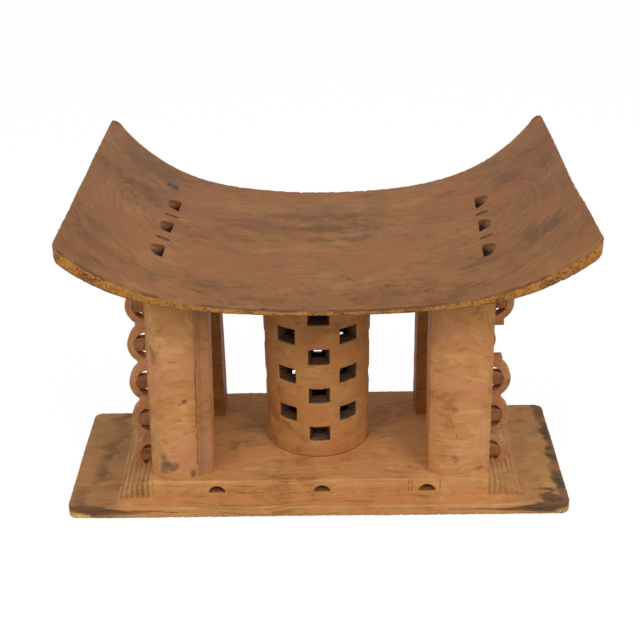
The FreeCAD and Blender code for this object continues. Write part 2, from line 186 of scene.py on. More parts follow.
class Unevenness:
    """Smooth random relief from a seeded lattice, the same on every run."""

    CELLS = 64

    def __init__(self, seed: int) -> None:
        """Fills the lattice.

        Args:
            seed: The seed of the lattice's values.
        """
        shape = (self.CELLS, self.CELLS, self.CELLS)
        self.lattice = np.random.default_rng(seed).uniform(-1.0, 1.0, shape)

    def __call__(self, places: Array, waves: Sequence[float]) -> Array:
        """Reads the relief.

        Args:
            places: One row of x, y and z for each point, in metres.
            waves: The wavelength along each axis, in metres.

        Returns:
            One value from -1 to 1 for each point.
        """
        scaled = places / np.asarray(waves)
        cell = np.floor(scaled).astype(int)
        near = scaled - cell
        near = near * near * (3.0 - 2.0 * near)
        total = np.zeros(len(places))
        for corner in np.ndindex(2, 2, 2):
            weight = np.ones(len(places))
            for axis, step in enumerate(corner):
                weight = weight * (near[:, axis] if step else 1.0 - near[:, axis])
            at = (cell + corner) % self.CELLS
            total += weight * self.lattice[at[:, 0], at[:, 1], at[:, 2]]
        return total


BROAD = Unevenness(11)
FINE = Unevenness(23)


@dataclass(frozen=True)
class Bend:
    """The curve that the top of a board follows from end to end."""

    x: Array
    height: Array
    lean: float = 0.0
    # Places along the curve, and places by which it is carried on at each end.
    STEPS: ClassVar[int] = 160
    BEYOND: ClassVar[int] = 8

    @classmethod
    def over(cls, node: str, row: float, lean: float) -> "Bend":
        """Follows the top of a solid.

        Args:
            node: The name of the solid.
            row: The y along which its top is followed.
            lean: How far its top rises for each metre towards the rear.

        Returns:
            The curve, carried on a little beyond both ends.
        """
        low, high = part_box(node)
        tree = face_tree(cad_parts[node].data)
        down = Vector(Axis.DOWN.value)
        x = np.linspace(low.x + 4 * MM, high.x - 4 * MM, cls.STEPS)
        height = [tree.ray_cast(Vector((at, row, high.z + 0.1)), down)[0].z - lean * row for at in x]
        carried = (np.pad(values, cls.BEYOND, "reflect", reflect_type="odd") for values in (x, height))
        return cls(*carried, lean)

    @property
    def run(self) -> Array:
        """The length along the curve at each x."""
        steps = np.hypot(np.diff(self.x), np.diff(self.height))
        return self.x[0] + np.concatenate([[0.0], np.cumsum(steps)])

    def depth(self, points: Array) -> Array:
        """Works out how far points lie below the top."""
        return np.interp(points[:, 0], self.x, self.height) + self.lean * points[:, 1] - points[:, 2]

    def flatten(self, points: Array) -> Array:
        """Places points as if the board were straight and level."""
        along = np.interp(points[:, 0], self.x, self.run)
        return np.stack([along, points[:, 1], -self.depth(points)], axis=1)

    def restore(self, points: Array) -> Array:
        """Bends the straight board back.

        Args:
            points: Its points, as flatten gives them.

        Returns:
            The points on the bent board.
        """
        x = np.interp(points[:, 0], self.run, self.x)
        z = points[:, 2] + np.interp(x, self.x, self.height) + self.lean * points[:, 1]
        return np.stack([x, points[:, 1], z], axis=1)


STRAIGHT = Bend(np.array([-1.0, 1.0]), np.zeros(2))


class Member:
    """One carved member: a remeshed copy of its solid, which is then worn, cut and stained."""

    def __init__(
        self,
        node: str,
        face: float,
        wear: int,
        bites: dict[str, Axis],
        fine: "Sequence[Region]" = (),
        bend: Bend = STRAIGHT,
        fill: Callable[[Array], Array] | None = None,
    ) -> None:
        """Remeshes the solid.

        Args:
            node: The name of the solid.
            face: The side of one small face.
            wear: How many smoothing rounds wear the arrises.
            bites: For each neighbour that it meets, the direction in which it is sunk into it.
            fine: Regions whose faces are halved, one after the other.
            bend: The curve that the solid follows; its faces are evened out as if it were straight.
            fill: Lifts the solid's points out of hollows that are carved afresh.
        """
        self.node, self.face, self.bend = node, face, bend
        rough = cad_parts[node].data.copy()
        points = self._read(rough.vertices, "co")
        for neighbour, direction in bites.items():
            tree = face_tree(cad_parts[neighbour].data)
            touching = np.array([tree.find_nearest(p, TOUCHING)[0] is not None for p in points])
            points[touching] += BITE * np.asarray(direction.value)
        if fill is not None:
            points = fill(points)
        rough.vertices.foreach_set("co", points.ravel())
        solid, ridges = face_tree(rough), ridge_places(rough, RIDGE_STEP * face)
        rough.vertices.foreach_set("co", bend.flatten(points).ravel())
        self._even_out(rough)
        for region in fine:
            self._halve(region(self))
        self._lay(solid, ridges, wear)
        self.masks: dict[Mask, Array] = {mask: np.zeros(len(self.points)) for mask in Mask}
        self.masks[Mask.CONVEX] = self._convexity()

    def _even_out(self, rough: bpy.types.Mesh) -> None:
        """Remeshes the solid in small even faces.

        Args:
            rough: The solid, laid straight; it is used up.
        """
        rough.transform(REMESH_TURN)
        holder = bpy.data.objects.new(self.node + "_rough", rough)
        bpy.context.scene.collection.objects.link(holder)
        remesh = holder.modifiers.new("Even faces", "REMESH")
        remesh.mode = "VOXEL"
        remesh.voxel_size = self.face
        depsgraph = bpy.context.evaluated_depsgraph_get()
        self.mesh = bpy.data.meshes.new_from_object(holder.evaluated_get(depsgraph))
        bpy.data.objects.remove(holder)
        bpy.data.meshes.remove(rough)
        self.mesh.transform(REMESH_TURN.inverted())
        self.points = self.bend.restore(self._read(self.mesh.vertices, "co"))
        self._settle()

    def _lay(self, solid: BVHTree, ridges: list[Vector], wear: int) -> None:
        """Lays the even faces on the solid again and wears the arrises round.

        Args:
            solid: The solid's faces.
            ridges: Places set close together along its sharp edges.
            wear: How many smoothing rounds wear the arrises.
        """
        flat = self.spread(self.bend.flatten(self.points), SETTLING)
        self.points = np.array([solid.find_nearest(point)[0] for point in self.bend.restore(flat)])
        held = self._snap(ridges)
        for done in range(EVENING + wear):
            moved = self.spread(self.points, 1)
            if done < EVENING:
                moved[held] = self.points[held]
            self.points = moved
        self._settle()

    def _settle(self) -> None:
        """Writes the points to the mesh and measures it anew."""
        self.mesh.vertices.foreach_set("co", self.points.ravel())
        self.mesh.update()
        self._measure()

    def _measure(self) -> None:
        """Reads the mesh into arrays."""
        self.points = self._read(self.mesh.vertices, "co")
        self.normals = self._read(self.mesh.vertices, "normal")
        self.edges = np.zeros(len(self.mesh.edges) * 2, np.int64)
        self.mesh.edges.foreach_get("vertices", self.edges)
        self.edges = self.edges.reshape(-1, 2)

    def _snap(self, ridges: list[Vector]) -> list[int]:
        """Draws the nearest points onto the sharp edges, so that these stay straight.

        Args:
            ridges: Places set close together along the sharp edges.

        Returns:
            The points that now lie on an edge.
        """
        tree = KDTree(len(self.points))
        for index, point in enumerate(self.points):
            tree.insert(point, index)
        tree.balance()
        drawn: dict[int, tuple[float, Vector]] = {}
        for place in ridges:
            _, index, away = tree.find(place)
            if away < min(SNAP * self.face, drawn.get(index, (math.inf, place))[0]):
                drawn[index] = (away, place)
        for index, (_, place) in drawn.items():
            self.points[index] = place
        return list(drawn)

    def _halve(self, where: Array) -> None:
        """Halves the faces of a region.

        Args:
            where: True at the points of the region.
        """
        work = bmesh.new()
        work.from_mesh(self.mesh)
        work.verts.ensure_lookup_table()
        inside = [edge for edge in work.edges if where[edge.verts[0].index] and where[edge.verts[1].index]]
        bmesh.ops.subdivide_edges(work, edges=inside, cuts=1, use_grid_fill=True)
        work.to_mesh(self.mesh)
        work.free()
        self.mesh.update()
        self._measure()

    def steep(self, least: float, rounds: int) -> Array:
        """Tells the upright faces and a strip beside them.

        Args:
            least: How upright a face has to be, from 0 to 1.
            rounds: How many faces wide the strip is.

        Returns:
            1 on the upright faces, falling to 0 across the strip.
        """
        return self.spread((1.0 - np.abs(self.normals[:, 2]) > least).astype(float), rounds)

    @staticmethod
    def _read(items: object, field: str) -> Array:
        """Reads one vector of each item.

        Args:
            items: The mesh's items, such as its vertices.
            field: The vector's name.

        Returns:
            One row for each item.
        """
        values = np.zeros(len(items) * 3)
        items.foreach_get(field, values)
        return values.reshape(-1, 3)

    def _neighbour_mean(self, values: Array) -> Array:
        """Averages each point's neighbours along the edges.

        Args:
            values: One value or one row for each point.

        Returns:
            The averages, in the same shape.
        """
        first, second = self.edges.T
        count = np.bincount(first, minlength=len(values)) + np.bincount(second, minlength=len(values))
        columns = values.reshape(len(values), -1)
        total = np.empty_like(columns)
        for column in range(columns.shape[1]):
            total[:, column] = np.bincount(first, columns[second, column], len(values))
            total[:, column] += np.bincount(second, columns[first, column], len(values))
        return (total / count[:, None]).reshape(values.shape)

    def spread(self, values: Array, rounds: int) -> Array:
        """Softens values over the surface.

        Args:
            values: One value or one row for each point.
            rounds: How often each point is drawn halfway to its neighbours.

        Returns:
            The softened values.
        """
        for _ in range(rounds):
            values = 0.5 * values + 0.5 * self._neighbour_mean(values)
        return values

    def _convexity(self) -> Array:
        """Tells the arrises and the inner corners from the flats.

        Returns:
            Near 1 on the arrises, near -1 in the inner corners and near 0 on the flats.
        """
        lean = self._neighbour_mean(self.points) - self.points
        bend = -np.einsum("ij,ij->i", lean, self.normals) / self.face
        return np.clip(self.spread(bend, 3) * 6.0, -1.0, 1.0)

    def push(self, depth: Array, direction: Array | None = None) -> None:
        """Moves the surface in by depth, against its normals or along direction."""
        along = -self.normals if direction is None else direction
        self.points += depth[:, None] * along

    def facing(self, direction: Axis) -> Array:
        """Tells how squarely each point faces that direction, from 0 to 1."""
        return np.clip(self.normals @ np.asarray(direction.value), 0.0, 1.0)

    def roll(self, *rolls: Roll) -> None:
        """Lays a hand-worked unevenness over the surface, one roll after the other."""
        for roll in rolls:
            self.push(roll.height * BROAD(self.points, roll.waves))

    def mark(self, mask: Mask, values: Array) -> None:
        """Adds values to a mask, up to 1."""
        self.masks[mask] = np.clip(np.maximum(self.masks[mask], values), 0.0, 1.0)

    def spot(self, spot: Spot) -> None:
        """Marks a ragged spot.

        Args:
            spot: The spot.
        """
        ragged = 0.45 * BROAD(self.points, (12 * MM, 6 * MM, 6 * MM))
        ragged += 0.40 * FINE(self.points, (4 * MM,) * 3)
        away = np.linalg.norm((self.points - np.asarray(spot.centre)) / np.asarray(spot.reach), axis=1)
        self.mark(spot.mask, spot.strength * eased(away + ragged, 1.1, 0.3))

    def groove(self, away: Array, width: float, depth: float, where: Array, tint: float) -> None:
        """Cuts a groove.

        Args:
            away: The distance of each point from the groove's middle line.
            width: Half of its width.
            depth: How deep it is.
            where: From 0 to 1, the part of the surface that it may cut.
            tint: How dark its bottom is.
        """
        cut = eased(np.abs(away), width, 0.0) * where
        self.push(depth * cut)
        self.mark(Mask.CUT, tint * cut)

    def crack(self, crack: Crack, plane: Plane, where: Array) -> None:
        """Cuts a ragged crack.

        Args:
            crack: The crack.
            plane: The plane of its path.
            where: From 0 to 1, the part of the surface that it may cut.
        """
        wander = np.stack([BROAD(self.points, (9 * MM,) * 3), FINE(self.points, (9 * MM,) * 3)], axis=1)
        flat = self.points[:, plane.value] + 0.9 * MM * wander
        gap = np.full(len(flat), np.inf)
        for start, end in zip(crack.path[:-1], crack.path[1:]):
            origin, run = np.asarray(start), np.subtract(end, start)
            share = np.clip((flat - origin) @ run / (run @ run), 0.0, 1.0)
            gap = np.minimum(gap, np.linalg.norm(flat - origin - share[:, None] * run, axis=1))
        broken = 0.6 + 0.5 * FINE(self.points, (5 * MM,) * 3)
        cut = eased(gap, crack.half_width, 0.0) * where * np.clip(broken, 0.0, 1.0)
        self.push(crack.depth * cut)
        self.mark(Mask.CUT, cut)

    def finish(self, material: bpy.types.Material) -> bpy.types.Object:
        """Writes the points and masks to a piece, which then stands for the solid.

        Args:
            material: The piece's material.

        Returns:
            The new piece.
        """
        self.mesh.vertices.foreach_set("co", self.points.ravel())
        for mask, values in self.masks.items():
            attribute = self.mesh.attributes.new(mask.value, "FLOAT", "POINT")
            attribute.data.foreach_set("value", values)
        self.mesh.shade_smooth()
        self.mesh.update()
        piece = bpy.data.objects.new(self.node + "_carved", self.mesh)
        bpy.context.scene.collection.objects.link(piece)
        piece.data.materials.clear()
        piece.data.materials.append(material)
        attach(piece, "root")
        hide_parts(self.node)
        log.info("%s: %d faces", piece.name, len(self.mesh.polygons))
        return piece


Region = Callable[[Member], Array]


def face_tree(mesh: bpy.types.Mesh) -> BVHTree:
    """Returns a search tree of a mesh's faces."""
    faces = [tuple(face.vertices) for face in mesh.polygons]
    return BVHTree.FromPolygons([vertex.co for vertex in mesh.vertices], faces)


def ridge_places(mesh: bpy.types.Mesh, spacing: float) -> list[Vector]:
    """Sets places along a mesh's sharp edges.

    Args:
        mesh: The mesh.
        spacing: The longest gap between two places.

    Returns:
        The places.
    """
    work = bmesh.new()
    work.from_mesh(mesh)
    bmesh.ops.remove_doubles(work, verts=work.verts, dist=0.01 * MM)
    places = []
    for edge in work.edges:
        if len(edge.link_faces) == 2 and edge.calc_face_angle() < SHARP:
            continue
        start, end = (vertex.co.copy() for vertex in edge.verts)
        steps = max(1, math.ceil((end - start).length / spacing))
        places += [start.lerp(end, step / steps) for step in range(steps + 1)]
    work.free()
    return places


class Bench:
    """The node tree of a material or a world under construction."""

    def __init__(self, owner: bpy.types.Material | bpy.types.World) -> None:
        """Empties the tree.

        Args:
            owner: The material or the world.
        """
        owner.use_nodes = True
        self.tree = owner.node_tree
        self.tree.nodes.clear()

    def add(self, kind: str, **settings: object) -> bpy.types.Node:
        """Adds a node.

        Args:
            kind: The node's type.
            settings: Its properties.

        Returns:
            The node.
        """
        node = self.tree.nodes.new(kind)
        for name, value in settings.items():
            setattr(node, name, value)
        return node

    def feed(self, socket: Socket, value: object) -> None:
        """Links or sets a socket.

        Args:
            socket: The socket.
            value: The socket that it is linked to, or the number or colour that it is set to.
        """
        if isinstance(value, Socket):
            self.tree.links.new(value, socket)
        elif isinstance(value, tuple) and len(value) == 3 and socket.type == "RGBA":
            socket.default_value = (*value, 1.0)
        else:
            socket.default_value = value

    def sum(self, kind: str, *values: object) -> Socket:
        """Works out a sum.

        Args:
            kind: The kind of sum, such as MULTIPLY.
            values: What goes into it.

        Returns:
            Its result.
        """
        node = self.add("ShaderNodeMath", operation=kind)
        for socket, value in zip(node.inputs, values):
            self.feed(socket, value)
        return node.outputs[0]

    def stretch(self, place: Socket, scale: tuple[float, ...]) -> Socket:
        """Scales a place.

        Args:
            place: The place.
            scale: The scale along each axis.

        Returns:
            The scaled place.
        """
        node = self.add("ShaderNodeVectorMath", operation="MULTIPLY")
        self.feed(node.inputs[0], place)
        self.feed(node.inputs[1], scale)
        return node.outputs[0]

    def cloud(self, place: Socket, figure: Figure) -> Socket:
        """Reads a cloudy pattern.

        Args:
            place: Where it is read, a single length for a figure that runs along a line.
            figure: The pattern.

        Returns:
            The pattern, around 0.5.
        """
        dimensions, entry = figure.pattern.value
        node = self.add("ShaderNodeTexNoise", noise_dimensions=dimensions)
        if figure.pattern is Pattern.LINE:
            self.feed(node.inputs[entry], self.sum("MULTIPLY", place, figure.cells[0]))
        else:
            self.feed(node.inputs[entry], self.stretch(place, figure.cells))
        self.feed(node.inputs["Scale"], 1.0)
        self.feed(node.inputs["Detail"], figure.layers)
        self.feed(node.inputs["Roughness"], figure.strength)
        self.feed(node.inputs["Distortion"], figure.twist)
        return node.outputs["Fac"]

    def between(self, value: object, ramp: Ramp) -> Socket:
        """Rises smoothly with a value.

        Args:
            value: The value.
            ramp: Where the result is 0 and where it is 1.

        Returns:
            The result.
        """
        low, high = ramp.value
        node = self.add("ShaderNodeMapRange", interpolation_type="SMOOTHSTEP")
        self.feed(node.inputs["Value"], value)
        self.feed(node.inputs["From Min"], low)
        self.feed(node.inputs["From Max"], high)
        return node.outputs["Result"]

    def blend(self, share: object, low: object, high: object) -> Socket:
        """Blends two colours.

        Args:
            share: The share of the second, from 0 to 1.
            low: The first colour.
            high: The second colour.

        Returns:
            The blend.
        """
        node = self.add("ShaderNodeMix", data_type="RGBA")
        self.feed(node.inputs["Factor"], share)
        first, second = (socket for socket in node.inputs if socket.type == "RGBA")
        self.feed(first, low)
        self.feed(second, high)
        return next(socket for socket in node.outputs if socket.type == "RGBA")

    def mask(self, mask: Mask) -> Socket:
        """Reads a mask stored on the mesh."""
        return self.add("ShaderNodeAttribute", attribute_name=mask.value).outputs["Fac"]

    def close(self, kind: str, shader: Socket) -> None:
        """Ends the tree in an output node of that kind."""
        self.feed(self.add(kind).inputs["Surface"], shader)


def shade(red: int, green: int, blue: int) -> Colour:
    """Turns a colour as it shows on a screen, 0 to 255, into linear light."""
    parts = (part / 255.0 for part in (red, green, blue))
    return tuple(part / 12.92 if part <= 0.04045 else ((part + 0.055) / 1.055) ** 2.4 for part in parts)


DRIFT = Figure((6.0, 14.0, 14.0), 2.0)
RINGS = Figure((330.0,), 3.0, 0.65, pattern=Pattern.LINE)
# The figures that follow the growth rings, and those that run through the block by themselves.
ALONG_RINGS = {
    "fibres": Figure((34.0, 620.0, 300.0), 3.0, 0.6, 0.3),
    "dashes": Figure((75.0, 330.0, 330.0), 2.0, 0.5, 0.6),
}
THROUGH_BLOCK = {
    "mottle": Figure((44.0, 62.0, 62.0), 4.0, 0.62, 0.7),
    "patches": Figure((9.0, 15.0, 15.0), 3.0, 0.55, 0.5),
    "hue": Figure((17.0, 23.0, 23.0), 2.0, 0.5, 0.4),
    "speckle": Figure((520.0, 520.0, 520.0), 3.0, 0.7),
}


@dataclass(frozen=True)
class WoodFinish:
    """One finish of the stool's hardwood. The growth rings and fibres run through all the members alike."""

    name: str
    dark: Colour
    middle: Colour
    light: Colour
    warm: Colour
    vein: Colour
    worn: Colour
    stain: Colour
    ring_share: float = 0.35
    fibre_share: float = 0.5
    mottle_share: float = 1.0
    patch_share: float = 0.9
    speckle_share: float = 0.25
    dash_share: float = 0.55
    warm_share: float = 0.6
    arris_share: float = 0.4
    corner_share: float = 0.35
    cut_share: float = 0.85
    rim_mottle: float = 0.6
    stain_least: float = 0.55
    stain_swing: float = 0.9
    # How far the deepest cuts turn near black as painted deep shade, and how dark that is.
    soot_share: float = 0.92
    soot_tone: float = 0.12
    smoothest: float = 0.50
    roughness_swing: float = 0.25
    specular: float = 0.16
    bump_strength: float = 0.5
    bump_height: float = 0.4 * MM
    pith: tuple[float, float] = (0.01, 0.205)
    pith_drift: float = 0.034
    fibre_slant: float = 0.25

    def _grain(self, bench: Bench) -> dict[str, Socket]:
        """Lays the growth rings round the block's pith, which runs along X, and the other figures.

        Args:
            bench: The material's node tree.

        Returns:
            Each figure by its name.
        """
        place = bench.add("ShaderNodeTexCoord").outputs["Object"]
        split = bench.add("ShaderNodeSeparateXYZ")
        bench.feed(split.inputs[0], place)
        x, y, z = split.outputs
        away = [bench.sum("SUBTRACT", at, pith) for at, pith in zip((y, z), self.pith)]
        radius = bench.sum("SQRT", bench.sum("ADD", *(bench.sum("POWER", gap, 2.0) for gap in away)))
        radius = bench.sum("MULTIPLY_ADD", bench.cloud(place, DRIFT), self.pith_drift, radius)
        slant = bench.sum("MULTIPLY", bench.sum("SUBTRACT", y, z), self.fibre_slant)
        lines = bench.add("ShaderNodeCombineXYZ")
        for socket, value in zip(lines.inputs, (x, radius, slant)):
            bench.feed(socket, value)
        grain = {"rings": bench.cloud(radius, RINGS)}
        grain |= {name: bench.cloud(lines.outputs[0], figure) for name, figure in ALONG_RINGS.items()}
        grain |= {name: bench.cloud(place, figure) for name, figure in THROUGH_BLOCK.items()}
        return grain

    def _fresh(self, bench: Bench, grain: dict[str, Socket]) -> Socket:
        """Colours the sound wood by its grain.

        Args:
            bench: The material's node tree.
            grain: Each figure of the grain by its name.

        Returns:
            The colour.
        """
        shares = {
            "rings": self.ring_share,
            "fibres": self.fibre_share,
            "mottle": self.mottle_share,
            "patches": self.patch_share,
            "speckle": self.speckle_share,
        }
        tone: Socket | float = 0.5
        for name, share in shares.items():
            tone = bench.sum("MULTIPLY_ADD", bench.sum("SUBTRACT", grain[name], 0.5), share, tone)
        colour = bench.blend(bench.between(tone, Ramp.DARK), self.dark, self.middle)
        colour = bench.blend(bench.between(tone, Ramp.LIGHT), colour, self.light)
        warmth = bench.sum("MULTIPLY", bench.between(grain["hue"], Ramp.HUE), self.warm_share)
        colour = bench.blend(warmth, colour, self.warm)
        patches = bench.between(grain["patches"], Ramp.PATCHES)
        dashes = bench.sum("MULTIPLY", bench.between(grain["dashes"], Ramp.DASHES), patches)
        return bench.blend(bench.sum("MULTIPLY", dashes, self.dash_share), colour, self.vein)

    def _aged(self, bench: Bench, grain: dict[str, Socket], colour: Socket) -> Socket:
        """Colours the wood by its masks: paler arrises, darker inner corners, cuts and stains, the painted
        shade that the cut and stain masks carry, and worn rims.

        Args:
            bench: The material's node tree.
            grain: Each figure of the grain by its name.
            colour: The colour of the sound wood.

        Returns:
            The colour.
        """
        convex, cut = bench.mask(Mask.CONVEX), bench.mask(Mask.CUT)
        speckle = bench.between(grain["speckle"], Ramp.SPECKLE)
        arris = bench.sum("MULTIPLY", bench.between(convex, Ramp.ARRIS), speckle)
        colour = bench.blend(bench.sum("MULTIPLY", arris, self.arris_share), colour, self.light)
        # Darker in the inner corners and along the cut mask, which also carries painted shade in hollows.
        corner = bench.sum("MULTIPLY", bench.between(convex, Ramp.CORNER), self.corner_share)
        shallow = bench.sum("MAXIMUM", corner, bench.between(cut, Ramp.CUT))
        colour = bench.blend(bench.sum("MULTIPLY", shallow, self.cut_share), colour, self.vein)
        # The stain mask also carries painted shade in the column's windows.
        streaks = bench.sum("MULTIPLY_ADD", grain["fibres"], self.stain_swing, self.stain_least)
        colour = bench.blend(bench.sum("MULTIPLY", bench.mask(Mask.STAIN), streaks), colour, self.stain)
        mottle = bench.sum("SUBTRACT", grain["mottle"], 0.5)
        rim = bench.between(bench.sum("MULTIPLY_ADD", mottle, self.rim_mottle, grain["speckle"]), Ramp.RIM)
        colour = bench.blend(bench.mask(Mask.WORN), colour, bench.blend(rim, self.vein, self.worn))
        # The deepest cuts, cracks and hollows turn near black: painted deep shade.
        deep_shade = tuple(self.soot_tone * part for part in self.dark)
        deep = bench.sum("MULTIPLY", bench.between(cut, Ramp.SOOT), self.soot_share)
        return bench.blend(deep, colour, deep_shade)

    def material(self) -> bpy.types.Material:
        """Builds the finish.

        Returns:
            The material.
        """
        material = bpy.data.materials.new(self.name)
        bench = Bench(material)
        grain = self._grain(bench)
        bump = bench.add("ShaderNodeBump")
        bench.feed(bump.inputs["Strength"], self.bump_strength)
        bench.feed(bump.inputs["Distance"], self.bump_height)
        relief = bench.sum("MULTIPLY", bench.sum("ADD", grain["fibres"], grain["speckle"]), 0.5)
        bench.feed(bump.inputs["Height"], relief)
        shader = bench.add("ShaderNodeBsdfPrincipled")
        bench.feed(shader.inputs["Base Color"], self._aged(bench, grain, self._fresh(bench, grain)))
        roughness = bench.sum("MULTIPLY_ADD", grain["mottle"], self.roughness_swing, self.smoothest)
        bench.feed(shader.inputs["Roughness"], roughness)
        bench.feed(shader.inputs["Specular IOR Level"], self.specular)
        bench.feed(shader.inputs["Normal"], bump.outputs["Normal"])
        bench.close("ShaderNodeOutputMaterial", shader.outputs["BSDF"])
        return material


POST_WOOD = WoodFinish(
    name="Post_wood",
    dark=shade(170, 112, 64),
    middle=shade(198, 138, 82),
    light=shade(214, 158, 102),
    warm=shade(206, 138, 98),
    vein=shade(128, 76, 42),
    worn=shade(226, 176, 124),
    stain=shade(88, 76, 64),
)
COLUMN_WOOD = WoodFinish(
    name="Column_wood",
    dark=shade(158, 104, 58),
    middle=shade(188, 132, 76),
    light=shade(202, 148, 92),
    warm=shade(184, 118, 70),
    vein=shade(128, 72, 36),
    worn=shade(206, 156, 104),
    # The stain colour shows only in the windows, as painted shade.
    stain=shade(66, 50, 40),
    ring_share=0.15,
    fibre_share=0.3,
)
# A darker copy of the post wood for the rear posts and wings, which stand in the seat's shade: painted
# shade.
REAR_PAINTED_SHADE_WOOD = WoodFinish(
    name="Shaded_wood",
    dark=shade(126, 80, 38),
    middle=shade(156, 102, 50),
    light=shade(176, 122, 64),
    warm=shade(158, 98, 52),
    vein=shade(94, 56, 26),
    worn=shade(180, 130, 76),
    stain=shade(56, 44, 34),
)
FRETWORK_WOOD = WoodFinish(
    name="Fretwork_wood",
    dark=shade(154, 98, 60),
    middle=shade(186, 128, 82),
    light=shade(206, 152, 102),
    warm=shade(188, 122, 90),
    vein=shade(100, 60, 38),
    worn=shade(214, 160, 102),
    stain=shade(88, 68, 52),
)
FOOT_WOOD = WoodFinish(
    name="Foot_wood",
    dark=shade(174, 119, 68),
    middle=shade(202, 146, 88),
    light=shade(216, 164, 106),
    warm=shade(208, 142, 90),
    vein=shade(126, 76, 42),
    worn=shade(246, 206, 130),
    stain=shade(80, 60, 42),
    ring_share=0.45,
    fibre_share=0.6,
    dash_share=0.4,
)
SEAT_WOOD = WoodFinish(
    name="Seat_wood",
    dark=shade(110, 70, 38),
    middle=shade(134, 90, 52),
    light=shade(154, 107, 64),
    warm=shade(144, 89, 55),
    vein=shade(86, 52, 28),
    worn=shade(186, 126, 56),
    stain=shade(84, 56, 34),
    ring_share=0.42,
    fibre_share=0.55,
    mottle_share=0.9,
    dash_share=0.4,
    smoothest=0.43,
)
PLUG_WOOD = WoodFinish(
    name="Plug_wood",
    dark=shade(58, 56, 58),
    middle=shade(74, 74, 78),
    light=shade(92, 92, 96),
    warm=shade(70, 68, 74),
    vein=shade(40, 38, 40),
    worn=shade(110, 108, 110),
    stain=shade(50, 48, 48),
)


@dataclass(frozen=True)
class SlabEnd:
    """The stain on one end of the slab, and the worn wood at its front corner."""

    side: float
    reach: float
    growth: float
    strength: float
    tint: float
    worn_at: float
    worn_reach: float


